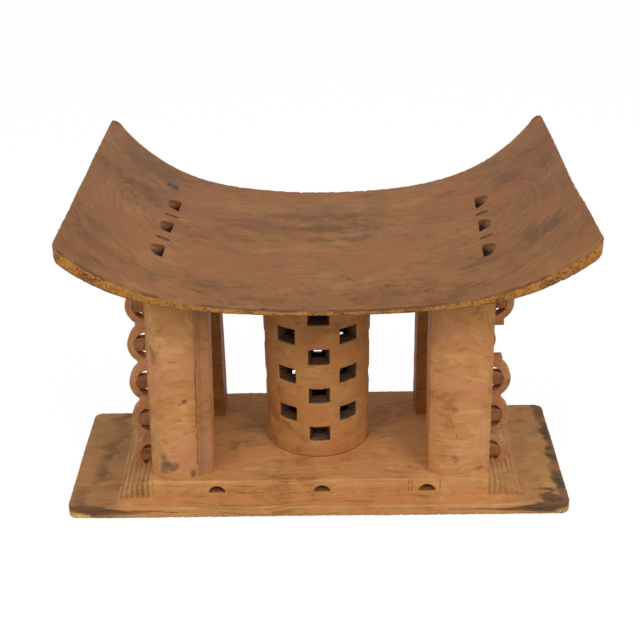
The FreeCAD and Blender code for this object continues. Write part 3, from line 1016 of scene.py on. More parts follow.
@dataclass
class Foot:
    """The flat slab and the step with its reeded ramps."""

    slab_face: float = 2.1 * MM
    slab_rolls: tuple[Roll, ...] = (
        Roll(0.35 * MM, (90 * MM, 50 * MM, 50 * MM)),
        Roll(0.12 * MM, (16 * MM, 9 * MM, 9 * MM)),
    )
    slab_ends: tuple[SlabEnd, ...] = (
        SlabEnd(-1.0, 21 * MM, 0.15, 0.80, 0.40, 0.238, 15 * MM),
        SlabEnd(1.0, 9 * MM, 0.02, 0.95, 0.25, 0.241, 14 * MM),
    )
    slab_cracks: tuple[Crack, ...] = (
        Crack(
            (
                (-0.236, 0.0070),
                (-0.212, 0.0085),
                (-0.190, 0.0070),
                (-0.168, 0.0085),
                (-0.148, 0.0062),
                (-0.128, 0.0066),
            )
        ),
        Crack(
            (
                (0.126, 0.0074),
                (0.146, 0.0066),
                (0.172, 0.0056),
                (0.200, 0.0070),
                (0.226, 0.0048),
                (0.240, 0.0052),
            )
        ),
        Crack(((-0.090, 0.0034), (-0.050, 0.0030), (-0.010, 0.0036), (0.050, 0.0026)), 0.5 * MM, 0.4 * MM),
    )
    # Places and reaches of the stains on the slab's top, and their strength.
    slab_stains: tuple[tuple[float, float, float, float, float], ...] = (
        (0.214, 0.020, 0.024, 0.007, 0.4),
        (0.226, -0.096, 0.020, 0.014, 0.9),
        (0.205, 0.043, 0.030, 0.005, 0.4),
    )
    step_face: float = 2.15 * MM
    step_rolls: tuple[Roll, ...] = (
        Roll(0.3 * MM, (50 * MM, 40 * MM, 30 * MM)),
        Roll(0.15 * MM, (9 * MM, 9 * MM, 6 * MM)),
    )
    step_top_half: float = 167.0 * MM
    moon_radius: float = 8.3 * MM
    moon_pitch: float = 103.0 * MM
    moon_shift: float = 3.4 * MM
    moon_sill: float = 4.5 * MM
    moon_hollow: float = 3.5 * MM
    moon_depth: float = 10.0 * MM
    reed_pitch: float = 5.5 * MM
    reed_depth: float = 0.9 * MM
    # Heights of the incised lines along the front: two above the step's bottom, one below its top.
    lower_line: float = 4.6 * MM
    zigzag_line: float = 7.6 * MM
    upper_line: float = 2.6 * MM
    zigzag_pitch: float = 6.5 * MM
    zigzag_swing: float = 1.7 * MM
    upright_cuts: tuple[float, ...] = (0.0885, 0.0915, 0.1190)
    scored_lines: tuple[tuple[float, float], ...] = ((-0.1620, 0.4), (-0.1225, 0.2))

    def carve_slab(self, material: bpy.types.Material) -> None:
        """Carves the slab and stains its ends.

        Args:
            material: The wood of the slab.
        """
        low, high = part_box("base_slab")
        slab = Member("base_slab", self.slab_face, 3, {}, (lambda member: member.steep(0.5, 3) > 0.01,))
        slab.roll(*self.slab_rolls)
        face = eased(slab.facing(Axis.FRONT), 0.3, 0.8)
        for crack in self.slab_cracks:
            slab.crack(crack, Plane.FRONT, face)
        self._stain_ends(slab, low, high)
        for x, y, reach_x, reach_y, strength in self.slab_stains:
            slab.spot(Spot(Mask.STAIN, (x, y, high.z), (reach_x, reach_y, 10 * MM), strength))
        self._bare_corners(slab, face, low)
        slab.points[:, 2] = np.maximum(slab.points[:, 2], 0.0)
        slab.finish(material)

    def _stain_ends(self, slab: Member, low: Vector, high: Vector) -> None:
        """Stains the slab's ends dark, in fingers drawn out along the grain.

        Args:
            slab: The slab.
            low: The lowest corner of its box.
            high: The highest corner of its box.
        """
        x, y, z = slab.points.T
        fingers = 13 * MM * BROAD(slab.points, (60 * MM, 11 * MM, 30 * MM))
        fingers += 6 * MM * FINE(slab.points, (30 * MM, 4 * MM, 20 * MM))
        blotch = np.clip(0.62 + 0.7 * BROAD(slab.points, (22 * MM, 15 * MM, 30 * MM)), 0.0, 1.0)
        for end in self.slab_ends:
            gap = x - low.x if end.side < 0 else high.x - x
            reach = end.reach + end.growth * (y - low.y)
            place = gap + fingers * np.clip(reach / (26 * MM), 0.0, 1.0)
            body = eased(place, reach + 3 * MM, reach - 3 * MM)
            inner = eased(place, reach - 20 * MM, reach - 6 * MM)
            slab.mark(Mask.STAIN, end.strength * body * (0.50 + 0.50 * inner * blotch))
            slab.mark(Mask.STAIN, end.tint * eased(gap, 62 * MM, 40 * MM))
        slab.mark(Mask.STAIN, 0.5 * blotch * eased(y, high.y - 7 * MM, high.y))
        wander = 1.2 * MM * BROAD(slab.points, (26 * MM, 60 * MM, 60 * MM))
        thick = 0.6 * MM + 4.6 * MM * eased(np.abs(x), 0.172, 0.236)
        wedge = eased(np.abs(z - 7.2 * MM + wander), thick + 1.5 * MM, thick)
        slab.mark(Mask.STAIN, 0.85 * wedge * eased(np.abs(x), 0.135, 0.200) * (y < low.y + 4 * MM))

    def _bare_corners(self, slab: Member, face: Array, low: Vector) -> None:
        """Bares the pale wood at the slab's lower front corners.

        Args:
            slab: The slab.
            face: From 0 to 1, the part of the surface that faces the front.
            low: The lowest corner of its box.
        """
        x, _, z = slab.points.T
        for end in self.slab_ends:
            middle, reach = end.side * end.worn_at, end.worn_reach
            away = np.hypot(x - middle, (z - 2 * MM) * 2.0)
            slab.masks[Mask.STAIN] *= 1.0 - 0.9 * eased(away, reach, 0.5 * reach) * face
            slab.spot(Spot(Mask.WORN, (middle, low.y, 2 * MM), (reach, 12 * MM, 4 * MM), 0.95))

    def _moons(self) -> list[float]:
        """Returns the place of each half-moon along the step."""
        return [self.moon_shift + i * self.moon_pitch for i in (-1, 0, 1)]

    def carve_step(self, material: bpy.types.Material) -> None:
        """Carves the step, its half-moons, reeds and incised lines, and paints shade under the half-moons'
        arches.

        Args:
            material: The wood of the step.
        """
        low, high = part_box("base_step")
        regions = (lambda member: member.steep(0.12, 2) > 0.02, self._at_moons)
        step = Member("base_step", self.step_face, 2, {"base_slab": Axis.DOWN}, regions)
        step.roll(*self.step_rolls)
        x, y, z = step.points.T
        sill = low.z + self.moon_sill
        for moon in self._moons():
            inside = np.hypot(x - moon, z - sill) < self.moon_radius
            inside &= (y > low.y + 0.8 * MM) & (y < low.y + self.moon_depth)
            rise = np.clip((z - sill) / self.moon_radius, 0.0, 1.0)
            step.push(np.where(inside, self.moon_hollow * rise, 0.0), np.array(Axis.REAR.value))
            # Painted shade in the half-moon, darkest up under its arch and deep inside.
            deep = eased(y - low.y, 0.5 * MM, 3.0 * MM)
            step.mark(Mask.CUT, np.where(inside, eased(rise + 0.35 * deep, 0.15, 0.62), 0.0))
        front = eased(step.facing(Axis.FRONT), 0.5, 0.9)
        self._cut_front(step, front, low, high)
        self._cut_reeds(step, front)
        step.finish(material)

    def _at_moons(self, step: Member) -> Array:
        """Finds the points in and round the half-moons.

        Args:
            step: The step.

        Returns:
            True at these points.
        """
        low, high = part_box("base_step")
        x, y, z = step.points.T
        near = np.min([np.abs(x - moon) for moon in self._moons()], axis=0) < self.moon_radius + 1.5 * MM
        return near & (y < low.y + 12 * MM) & (z < high.z - 4 * MM) & (z > low.z + 2 * MM)

    def _cut_front(self, step: Member, front: Array, low: Vector, high: Vector) -> None:
        """Cuts the incised lines and dashes along the step's front.

        Args:
            step: The step.
            front: From 0 to 1, the part of the surface that faces the front.
            low: The lowest corner of its box.
            high: The highest corner of its box.
        """
        x, _, z = step.points.T
        broken = np.clip(0.5 + 0.9 * FINE(step.points, (7 * MM, 50 * MM, 50 * MM)), 0.0, 1.0)
        between = eased(np.abs(x - 5 * MM), 0.112, 0.104)
        step.groove(z - (low.z + self.lower_line), 0.6 * MM, 0.45 * MM, front * between * broken, 0.7)
        wave = self.zigzag_swing * (2.0 * np.abs((x / self.zigzag_pitch) % 1.0 - 0.5) - 0.5)
        patch = np.clip(0.2 + 1.1 * BROAD(step.points, (26 * MM, 60 * MM, 60 * MM)), 0.0, 1.0)
        step.groove(z - (low.z + self.zigzag_line) - wave, 0.5 * MM, 0.35 * MM, front * between * patch, 0.6)
        step.groove(z - (high.z - self.upper_line), 0.6 * MM, 0.4 * MM, front * between * patch, 0.6)
        for line in self.upright_cuts:
            step.groove(x - line, 0.6 * MM, 0.5 * MM, front * eased(z, low.z + 4 * MM, low.z + 6 * MM), 0.8)
        for line, tint in self.scored_lines:
            step.groove(x - line, 0.7 * MM, 0.4 * MM, front, tint)

    def _cut_reeds(self, step: Member, front: Array) -> None:
        """Carries the ramps' reeds down their front ends and darkens the valleys.

        Args:
            step: The step.
            front: From 0 to 1, the part of the surface that faces the front.
        """
        x = step.points[:, 0]
        out = np.abs(x) - self.step_top_half
        on_ramp = eased(out, -1.5 * MM, 0.5 * MM)
        valley = 0.5 + 0.5 * np.cos(2.0 * math.pi * out / self.reed_pitch)
        step.push(self.reed_depth * valley * front * on_ramp)
        uneven = np.clip(0.65 + 0.6 * BROAD(step.points, (9 * MM, 24 * MM, 9 * MM)), 0.0, 1.0)
        step.mark(Mask.CUT, 0.45 * valley**2 * on_ramp * uneven)
        step.mark(Mask.STAIN, 0.22 * on_ramp)
        step.mark(Mask.WORN, np.where(x < 0.0, 0.30, 0.16) * (1.0 - valley) ** 3 * on_ramp * uneven)


@dataclass
class Column:
    """The hollow middle column with its staggered windows."""

    face: float = 1.42 * MM
    wall: float = 13.0 * MM
    inner_hollow: float = 2.0 * MM
    ring_top: float = 47.0 * MM
    ring_depth: float = 0.9 * MM
    neck_depth: float = 1.4 * MM
    lintel_taper: float = 2.0 * MM
    jamb_taper: float = 4.5 * MM
    # How much narrower the rear windows are: most of them, the two over the side sills, the lowest one.
    rear_narrowing: float = 2.8 * MM
    side_narrowing: float = 6.0 * MM
    foot_narrowing: float = 1.2 * MM
    side_sills: tuple[tuple[float, float], ...] = ((-1.0, 113.0 * MM), (1.0, 69.6 * MM))
    rolls: tuple[Roll, ...] = (
        Roll(0.4 * MM, (60 * MM, 60 * MM, 34 * MM)),
        Roll(0.12 * MM, (11 * MM, 11 * MM, 9 * MM)),
    )

    def carve(self, material: bpy.types.Material) -> None:
        """Carves the column and paints shade on its inner wall, in its windows and at its foot.

        Args:
            material: The wood of the column.
        """
        low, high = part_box("centre_column")
        radius = 0.5 * (high.x - low.x)
        column = Member("centre_column", self.face, 1, {"seat": Axis.UP, "base_step": Axis.DOWN})
        x, y, z = column.points.T
        away = np.hypot(x, y)
        outward = np.stack([x / away, y / away, np.zeros(len(x))], axis=1)
        radial = np.einsum("ij,ij->i", column.normals, outward)
        in_window = self._narrow_windows(column, radial, radius)
        inside = eased(-radial, 0.5, 0.9)
        column.push(-self.inner_hollow * inside)
        # Painted shade on the inner wall of the hollow.
        column.mark(Mask.CUT, 0.85 * inside)
        # Painted shade in the windows: the jambs dark from just inside the outer edge, and darker deeper in
        # the wall.
        column.mark(Mask.STAIN, 0.9 * in_window * eased(away, radius - 0.6 * MM, radius - 1.8 * MM))
        shaded = eased(away, radius - 0.3 * self.wall, radius - 0.9 * self.wall)
        column.mark(Mask.CUT, 0.62 * in_window * shaded)
        outside = eased(away, radius - 4 * MM, radius - 1 * MM)
        wander = 2.5 * MM * BROAD(column.points, (30 * MM, 30 * MM, 60 * MM))
        neck = self.neck_depth * eased(z, high.z, self.ring_top)
        ring = self.ring_depth * eased(z + wander, self.ring_top + 2.5 * MM, self.ring_top - 2.5 * MM)
        column.push((ring - neck) * outside, outward)
        column.roll(*self.rolls)
        seam = eased(np.abs(z + wander - self.ring_top - 1 * MM), 1.6 * MM, 0.0) * outside
        column.mark(Mask.CUT, 0.3 * seam * np.clip(0.4 + BROAD(column.points, (18 * MM,) * 3), 0.0, 1.0))
        # Painted shade at the foot, in the corner where the column meets the step.
        column.mark(Mask.CUT, 0.45 * eased(z, low.z + 2.2 * MM, low.z + 0.6 * MM) * outside)
        column.finish(material)

    def _narrow_windows(self, column: Member, radial: Array, radius: float) -> Array:
        """Narrows the windows inwards, and those at the rear once more.

        Args:
            column: The column.
            radial: How squarely each point faces away from the column's axis, from -1 to 1.
            radius: The column's outer radius.

        Returns:
            From 0 to 1, the part of the surface that lies in a window.
        """
        x, y, z = column.points.T
        share = np.clip((radius - np.hypot(x, y)) / self.wall, 0.0, 1.0)
        in_window = eased(1.0 - np.abs(radial), 0.3, 0.7)
        lintel = column.normals[:, 2] < -0.5
        taper = np.where(lintel, self.lintel_taper, self.jamb_taper) * share
        narrow = np.full(len(x), self.rear_narrowing)
        for side, sill in self.side_sills:
            narrow[(side * x > 12 * MM) & (np.abs(z - sill - 8 * MM) < 14 * MM)] = self.side_narrowing
        narrow[(np.abs(x) < 14 * MM) & (z < 72 * MM)] = self.foot_narrowing
        at_rear = np.where(lintel, 0.0, narrow) * eased(y, 0.0, 10 * MM)
        column.push(-(taper + at_rear) * in_window)
        return in_window


@dataclass
class Corner:
    """A corner post with its openwork wing."""

    place: str
    side: float
    lean: float
    cracks: tuple[Crack, ...] = ()
    spots: tuple[Spot, ...] = ()
    ridges: tuple[float, ...] = ()
    grooves: tuple[float, ...] = ()
    facet: float | None = None
    strip: float | None = None
    post_face: float = 1.1 * MM
    wing_face: float = 0.7 * MM
    post_rolls: tuple[Roll, ...] = (
        Roll(0.5 * MM, (34 * MM, 34 * MM, 48 * MM)),
        Roll(0.22 * MM, (11 * MM, 11 * MM, 16 * MM)),
    )
    wing_roll: Roll = Roll(0.35 * MM, (12 * MM, 12 * MM, 14 * MM))
    foot: float = 31.5 * MM
    top: float = 239.3 * MM
    disc_radius: float = 21.2 * MM
    disc_pitch: float = 41.4 * MM
    disc_first: float = 37.5 * MM
    border: float = 7.0 * MM
    band: float = 13.0 * MM
    hatch_pitch: float = 2.6 * MM
    hatch_depth: float = 0.45 * MM
    band_rise: float = 0.8 * MM

    def _slope(self) -> float:
        """Returns how far the flank leans towards the middle for each metre up."""
        return -self.side * self.lean / (self.top - self.foot)

    def _flank(self, height: Array) -> Array:
        """Works out the place of the post's outer flank.

        Args:
            height: The heights.

        Returns:
            The flank's x at each height.
        """
        low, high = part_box("fretwork_" + self.place)
        near = low.x if self.side > 0 else high.x
        lean = self._slope()
        bottom, top = near, near - lean * (high.z - self.foot)
        at_foot = top if (lean > 0) == (self.side < 0) else bottom
        return at_foot + lean * (height - self.foot)

    def carve_post(self, material: bpy.types.Material) -> None:
        """Carves the post.

        Args:
            material: The wood of the post.
        """
        post = Member("post_" + self.place, self.post_face, 3, {"seat": Axis.UP, "base_step": Axis.DOWN})
        post.roll(*self.post_rolls)
        front = eased(post.facing(Axis.FRONT), 0.35, 0.7)
        x, _, z = post.points.T
        leaning = x - self._slope() * (z - self.foot)
        for line in self.grooves:
            post.groove(leaning - line, 0.8 * MM, 0.3 * MM, front, 0.22)
        if self.strip is not None:
            post.mark(Mask.STAIN, 0.3 * eased(leaning, self.strip - 1 * MM, self.strip + 1 * MM) * front)
        if self.facet is not None:
            on_facet = eased(leaning, self.facet + 1 * MM, self.facet - 1.5 * MM) * front
            post.push(0.28 * (self.facet - leaning) * on_facet, np.array(Axis.REAR.value))
            uneven = np.clip(0.7 + 0.6 * BROAD(post.points, (8 * MM,) * 3), 0.0, 1.0)
            post.mark(Mask.WORN, 0.25 * on_facet * uneven)
        for line in self.ridges:
            post.groove(leaning - line, 1.3 * MM, -0.7 * MM, front, 0.0)
        for crack in self.cracks:
            post.crack(crack, Plane.FRONT, front)
        for spot in self.spots:
            post.spot(spot)
        post.finish(material)

    def carve_wing(self, material: bpy.types.Material) -> None:
        """Carves the wing of stacked half discs on the post's flank.

        Args:
            material: The wood of the wing.
        """
        inward = Axis.LEFT if self.side > 0 else Axis.RIGHT
        bites = {"post_" + self.place: inward, "seat": Axis.UP}
        wing = Member("fretwork_" + self.place, self.wing_face, 1, bites)
        wing.roll(self.wing_roll)
        x, _, z = wing.points.T
        disc = np.round((z - self.disc_first) / self.disc_pitch)
        middle = self.disc_first + disc * self.disc_pitch
        away = np.hypot(x - self._flank(middle), z - middle)
        across = wing.facing(Axis.FRONT) + wing.facing(Axis.REAR)
        face = eased(across, 0.6, 0.9)
        on_band = eased(away, self.disc_radius - self.border, self.disc_radius - self.border - 1 * MM)
        on_band *= eased(np.abs(z - middle), 0.5 * self.band + 1 * MM, 0.5 * self.band - 1 * MM)
        first, second = (x + z) / self.hatch_pitch, (x - z) / self.hatch_pitch
        crossed = np.maximum(np.cos(2 * math.pi * first), np.cos(2 * math.pi * second))
        upright = np.cos(2 * math.pi * 1.4 * x / self.hatch_pitch)
        lines = eased(np.where(disc % 3 == 1, upright, crossed), 0.3, 1.0)
        uneven = np.clip(0.6 + 0.7 * FINE(wing.points, (6 * MM,) * 3), 0.0, 1.0)
        wing.push(self.hatch_depth * lines * on_band * face * uneven)
        wing.mark(Mask.CUT, on_band * face * (0.2 + 0.5 * lines * uneven))
        wing.push(-self.band_rise * on_band * face)
        on_ring = eased(away, self.disc_radius - self.border, self.disc_radius - 2 * MM)
        wing.mark(Mask.WORN, 0.45 * on_ring * face * uneven)
        wing.finish(material)


@dataclass
class Seat:
    """The curved seat and the small plug let into it."""

    face: float = 3.0 * MM
    plug_face: float = 0.6 * MM
    pit_reach: float = 152.0 * MM
    pit_row: float = 73.0 * MM
    pit_pitch: float = 55.5 * MM
    pit_skew: tuple[float, float] = (-2.0 * MM, 0.041)
    pit_inner: float = -3.9 * MM
    pit_length: float = 11.5 * MM
    pit_half_width: float = 12.5 * MM
    pit_depth: float = 9.0 * MM
    pit_row_shift: float = 1.0 * MM
    tool_pitch: float = 2.8 * MM
    tool_depth: float = 0.25 * MM
    slot_half: tuple[float, float] = (6.4 * MM, 3.4 * MM)
    slot_depth: float = 1.8 * MM
    shift: float = 11.7 * MM
    lean: float = 0.0129
    # The top is followed from end to end along this y, clear of the plug.
    top_row: float = -100.0 * MM
    fill_reach: float = 21.0 * MM
    fine_reach: float = 12.0 * MM
    corner: float = 24.0 * MM
    end_hollow: float = 2.4 * MM
    ripple_pitch: float = 10.5 * MM
    ripple_depth: float = 0.22 * MM
    rolls: tuple[Roll, ...] = (Roll(0.5 * MM, (60 * MM, 45 * MM, 45 * MM)),)
    cracks: tuple[Crack, ...] = (
        Crack(
            ((-0.112, -0.111), (-0.099, -0.117), (-0.086, -0.128), (-0.067, -0.132), (-0.046, -0.142)),
            1.3 * MM,
            1.1 * MM,
        ),
        Crack(((-0.048, -0.134), (-0.030, -0.139), (-0.018, -0.142)), 1.1 * MM, 0.9 * MM),
        Crack(
            ((0.014, -0.059), (0.034, -0.077), (0.060, -0.090), (0.085, -0.097), (0.118, -0.127)),
            0.9 * MM,
            0.6 * MM,
        ),
    )
    spots: tuple[Spot, ...] = (
        Spot(Mask.STAIN, (0.191, 0.078, 0.278), (0.016, 0.020, 0.030), 0.4),
        Spot(Mask.STAIN, (0.226, 0.057, 0.304), (0.010, 0.026, 0.030), 0.45),
        Spot(Mask.STAIN, (0.208, -0.070, 0.287), (0.026, 0.020, 0.030), 0.6),
        Spot(Mask.STAIN, (-0.010, 0.070, 0.241), (0.070, 0.012, 0.020), 0.55),
        Spot(Mask.STAIN, (0.010, 0.040, 0.241), (0.060, 0.014, 0.020), 0.7),
        Spot(Mask.STAIN, (0.025, 0.016, 0.241), (0.045, 0.010, 0.020), 0.55),
        Spot(Mask.STAIN, (-0.060, 0.045, 0.241), (0.060, 0.012, 0.020), 0.4),
        Spot(Mask.STAIN, (-0.170, 0.115, 0.285), (0.045, 0.045, 0.060), 0.45),
        Spot(Mask.STAIN, (0.196, -0.064, 0.281), (0.016, 0.016, 0.030), 0.4),
    )

    def carve(self, wood: bpy.types.Material, plug_wood: bpy.types.Material) -> None:
        """Carves the seat and the plug.

        Args:
            wood: The wood of the seat.
            plug_wood: The wood of the plug.
        """
        regions = (lambda member: (member.steep(0.45, 3) > 0.01) | self._at_pits(member), self._at_pits)
        bend = Bend.over("seat", self.top_row, self.lean)
        seat = Member("seat", self.face, 1, {}, regions, bend, lambda points: self._fill_pits(points, bend))
        seat.roll(*self.rolls)
        top = eased(seat.facing(Axis.UP), 0.2, 0.5)
        depth = bend.depth(seat.points)
        self._cut_pits(seat, top * (depth < 4 * MM))
        self._blunt_corners(seat)
        x, y, _ = seat.points.T
        drift = 6 * MM * BROAD(seat.points, (24 * MM,) * 3)
        ripple = np.sin(2 * math.pi * (x + 0.55 * y + drift) / self.ripple_pitch)
        strong = eased(y, -0.055, -0.095) * eased(np.abs(x), 0.130, 0.070) * top
        seat.push(self.ripple_depth * ripple * strong)
        seat.mark(Mask.STAIN, 0.20 * np.clip(ripple, 0.0, 1.0) * strong)
        for crack in self.cracks:
            seat.crack(crack, Plane.TOP, top)
        for spot in self.spots:
            seat.spot(spot)
        self._wear_rims(seat, top, depth)
        seat.finish(wood)
        Member("seat_plug", self.plug_face, 1, {}).finish(plug_wood)

    def _in_rows(self, points: Array, outer: float) -> Array:
        """Finds the points above and below the two rows of pits and slots.

        Args:
            points: The points.
            outer: How far outwards of the rows' middle they may lie.

        Returns:
            True at these points.
        """
        outward = np.abs(points[:, 0] - self.shift) - self.pit_reach
        return (outward > -12 * MM) & (outward < outer) & (np.abs(points[:, 1]) < self.pit_row)

    def _fill_pits(self, points: Array, bend: Bend) -> Array:
        """Lifts the points in the pits and slots up to the seat's top.

        Args:
            points: The solid's points.
            bend: The curve of the seat.

        Returns:
            The points of a seat without pits.
        """
        depth = bend.depth(points)
        half = 0.5 * self.pit_depth
        inside = self._in_rows(points, self.fill_reach) & (np.abs(depth - half) < half + 1 * MM)
        lifted = points.copy()
        lifted[:, 2] += np.where(inside, depth, 0.0)
        return lifted

    def _at_pits(self, seat: Member) -> Array:
        """Finds the points of the top in the two rows of pits and slots."""
        return self._in_rows(seat.points, self.fine_reach) & (seat.bend.depth(seat.points) < 4 * MM)

    def _cut_pits(self, seat: Member, where: Array) -> None:
        """Cuts the pits, arched ramps that fall to an upright inner wall, and the oval slots between them,
        and paints shade into the pits' deep inner parts and along their rims.

        Args:
            seat: The seat.
            where: From 0 to 1, the part of the surface that they may cut.
        """
        x, y, _ = seat.points.T
        skewed = x - self.shift - self.pit_skew[0] - self.pit_skew[1] * y
        outward = np.abs(skewed) - self.pit_reach
        ragged = FINE(seat.points, (5 * MM,) * 3)
        across = y - np.clip(np.round(y / self.pit_pitch), -1, 1) * self.pit_pitch - self.pit_row_shift
        along = (outward - self.pit_inner + 0.5 * MM * ragged) / self.pit_length
        away = np.hypot(np.maximum(along, 0.0), across / self.pit_half_width) + 0.06 * ragged
        wall = eased(along, -0.09, 0.03)
        inside = eased(away, 1.0, 0.84) * wall * where
        fall = np.clip(1.05 - along, 0.0, 1.0)
        ridged = self.tool_depth * np.sin(2 * math.pi * (outward + 0.3 * across) / self.tool_pitch)
        pit = (0.84 * self.pit_depth * fall + ridged) * inside
        # Painted shade in the pit's deep inner part and along its rim.
        shaded = inside * eased(fall - 0.45 * across / self.pit_half_width, 0.05, 0.60)
        rim = 0.45 * eased(np.abs(away - 0.95), 0.12, 0.02) * wall * where * eased(across, -6 * MM, 4 * MM)
        seat.mark(Mask.CUT, np.maximum(0.95 * shaded, rim))
        across = np.abs(y) - 0.5 * self.pit_pitch
        away = np.hypot(outward / self.slot_half[0], across / self.slot_half[1]) + 0.14 * ragged
        slot = self.slot_depth * eased(away, 1.0, 0.6) * where
        rim = eased(np.abs(away - 0.84), 0.30, 0.06) * (0.7 + 0.3 * eased(outward, 3 * MM, -4 * MM))
        seat.mark(Mask.CUT, np.maximum(0.80 * rim, 0.25 * eased(away, 1.0, 0.8)) * where)
        seat.points[:, 2] -= pit + slot

    def _blunt_corners(self, seat: Member) -> None:
        """Wears the rear corners blunt and the right end slightly hollow.

        Args:
            seat: The seat.
        """
        low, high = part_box("seat")
        x, y, _ = seat.points.T
        for side, end in ((-1.0, low.x), (1.0, high.x)):
            beyond = np.stack([side * (x - end) + self.corner, y - (high.y - self.corner)], axis=1)
            away = np.maximum(np.linalg.norm(beyond, axis=1), 1e-6)
            over = np.where((beyond > 0.0).all(axis=1), np.maximum(away - self.corner, 0.0) / away, 0.0)
            seat.points[:, 0] -= side * over * beyond[:, 0]
            seat.points[:, 1] -= over * beyond[:, 1]
        hollow = np.exp(-(((y + 0.030) / 0.070) ** 2)) * eased(x, high.x - 40 * MM, high.x)
        seat.points[:, 0] -= self.end_hollow * hollow

    def _wear_rims(self, seat: Member, top: Array, depth: Array) -> None:
        """Chips the rims and bares their pale ochre wood, thick at the ends and thin in the middle.

        Args:
            seat: The seat.
            top: From 0 to 1, the part of the surface that faces up.
            depth: How far each point lies below the top.
        """
        x, y, _ = seat.points.T
        upright = (np.abs(seat.normals[:, 2]) < 0.55).astype(float)
        at_front = upright * (seat.normals[:, 1] < -0.35) * (y < -0.125)
        at_ends = upright * (np.abs(seat.normals[:, 0]) > 0.6)
        at_ends *= (np.abs(x - self.shift) > 0.200) & (y < 0.135)
        forward, sideways = seat.spread(at_front, 1), seat.spread(at_ends, 1)
        rough = FINE(seat.points, (3.2 * MM,) * 3)
        chips = 0.8 * FINE(seat.points, (7 * MM,) * 3) + 0.6 * BROAD(seat.points, (17 * MM,) * 3)
        chips = eased(chips, 0.15, 0.8)
        arris = eased(seat.masks[Mask.CONVEX], 0.15, 0.6)
        seat.push(0.28 * MM * rough * forward + 1.3 * MM * chips * arris * seat.spread(forward, 3))
        ragged = 0.35 * rough + 0.25 * BROAD(seat.points, (9 * MM,) * 3)
        front = eased(forward + ragged, 0.3, 0.55) * eased(forward, 0.02, 0.25)
        pink = eased(x, 0.05, 0.09) * eased(depth + 2 * MM * rough, 6.5 * MM, 8.5 * MM)
        ends = eased(sideways + 0.6 * ragged, 0.25, 0.6) * eased(sideways, 0.02, 0.25)
        ends *= eased(y, 0.14, -0.05) * (0.55 + 0.45 * eased(y, 0.0, -0.12))
        ends *= np.where(x > 0.0, 1.0, eased(y, -0.03, -0.11))
        seat.mark(Mask.WORN, 0.95 * np.maximum(front * (1.0 - 0.55 * pink), 0.8 * ends))
        strip = seat.spread(at_front, 9)
        band = eased(strip, 0.004, 0.05) * top * (1.0 - front)
        torn = eased(BROAD(seat.points, (30 * MM, 7 * MM, 7 * MM)), -0.35, 0.25)
        seat.mark(Mask.CUT, 0.5 * band * torn)


CORNERS = (
    Corner(
        "front_left",
        -1.0,
        5.4 * MM,
        cracks=(
            Crack(
                ((-0.1130, 0.160), (-0.1145, 0.140), (-0.1150, 0.120), (-0.1160, 0.088)),
                0.9 * MM,
                1.0 * MM,
            ),
            Crack(((-0.1165, 0.080), (-0.1175, 0.060), (-0.1180, 0.046)), 0.6 * MM, 0.5 * MM),
            Crack(((-0.1300, 0.083), (-0.1180, 0.085)), 0.6 * MM, 0.6 * MM),
            Crack(((-0.1520, 0.076), (-0.1440, 0.074)), 0.5 * MM, 0.4 * MM),
        ),
        spots=(
            Spot(Mask.STAIN, (-0.1500, -0.092, 0.056), (0.004, 0.020, 0.008), 0.7),
            Spot(Mask.STAIN, (-0.1470, -0.092, 0.049), (0.006, 0.020, 0.006), 0.75),
            Spot(Mask.STAIN, (-0.1410, -0.092, 0.047), (0.006, 0.020, 0.005), 0.75),
            Spot(Mask.STAIN, (-0.1500, -0.092, 0.042), (0.005, 0.020, 0.004), 0.6),
            Spot(Mask.STAIN, (-0.1265, -0.090, 0.120), (0.0028, 0.020, 0.0028), 0.9),
            Spot(Mask.STAIN, (-0.1300, -0.090, 0.117), (0.0020, 0.020, 0.0024), 0.6),
            Spot(Mask.STAIN, (-0.1530, -0.088, 0.165), (0.003, 0.020, 0.012), 0.5),
            Spot(Mask.STAIN, (-0.1225, -0.092, 0.037), (0.003, 0.020, 0.006), 0.7),
            Spot(Mask.WORN, (-0.1570, -0.088, 0.030), (0.0018, 0.020, 0.0018), 1.0),
        ),
        grooves=(-0.1175,),
        facet=-0.1550,
        strip=-0.1175,
    ),
    Corner(
        "front_right",
        1.0,
        2.6 * MM,
        cracks=(
            Crack(((0.1260, 0.100), (0.1300, 0.090), (0.1340, 0.075)), 0.6 * MM, 0.6 * MM),
        ),
        spots=(
            Spot(Mask.STAIN, (0.1310, -0.092, 0.108), (0.004, 0.020, 0.004), 0.5),
            Spot(Mask.STAIN, (0.1330, -0.092, 0.054), (0.005, 0.020, 0.005), 0.6),
            Spot(Mask.STAIN, (0.1570, -0.090, 0.040), (0.006, 0.020, 0.006), 0.6),
        ),
        ridges=(0.1560, 0.1630),
    ),
    Corner("rear_left", -1.0, 5.4 * MM),
    Corner("rear_right", 1.0, 2.6 * MM),
)


@dataclass(frozen=True)
class Lamp:
    """A soft square lamp."""

    name: str
    place: tuple[float, float, float]
    size: float
    power: float


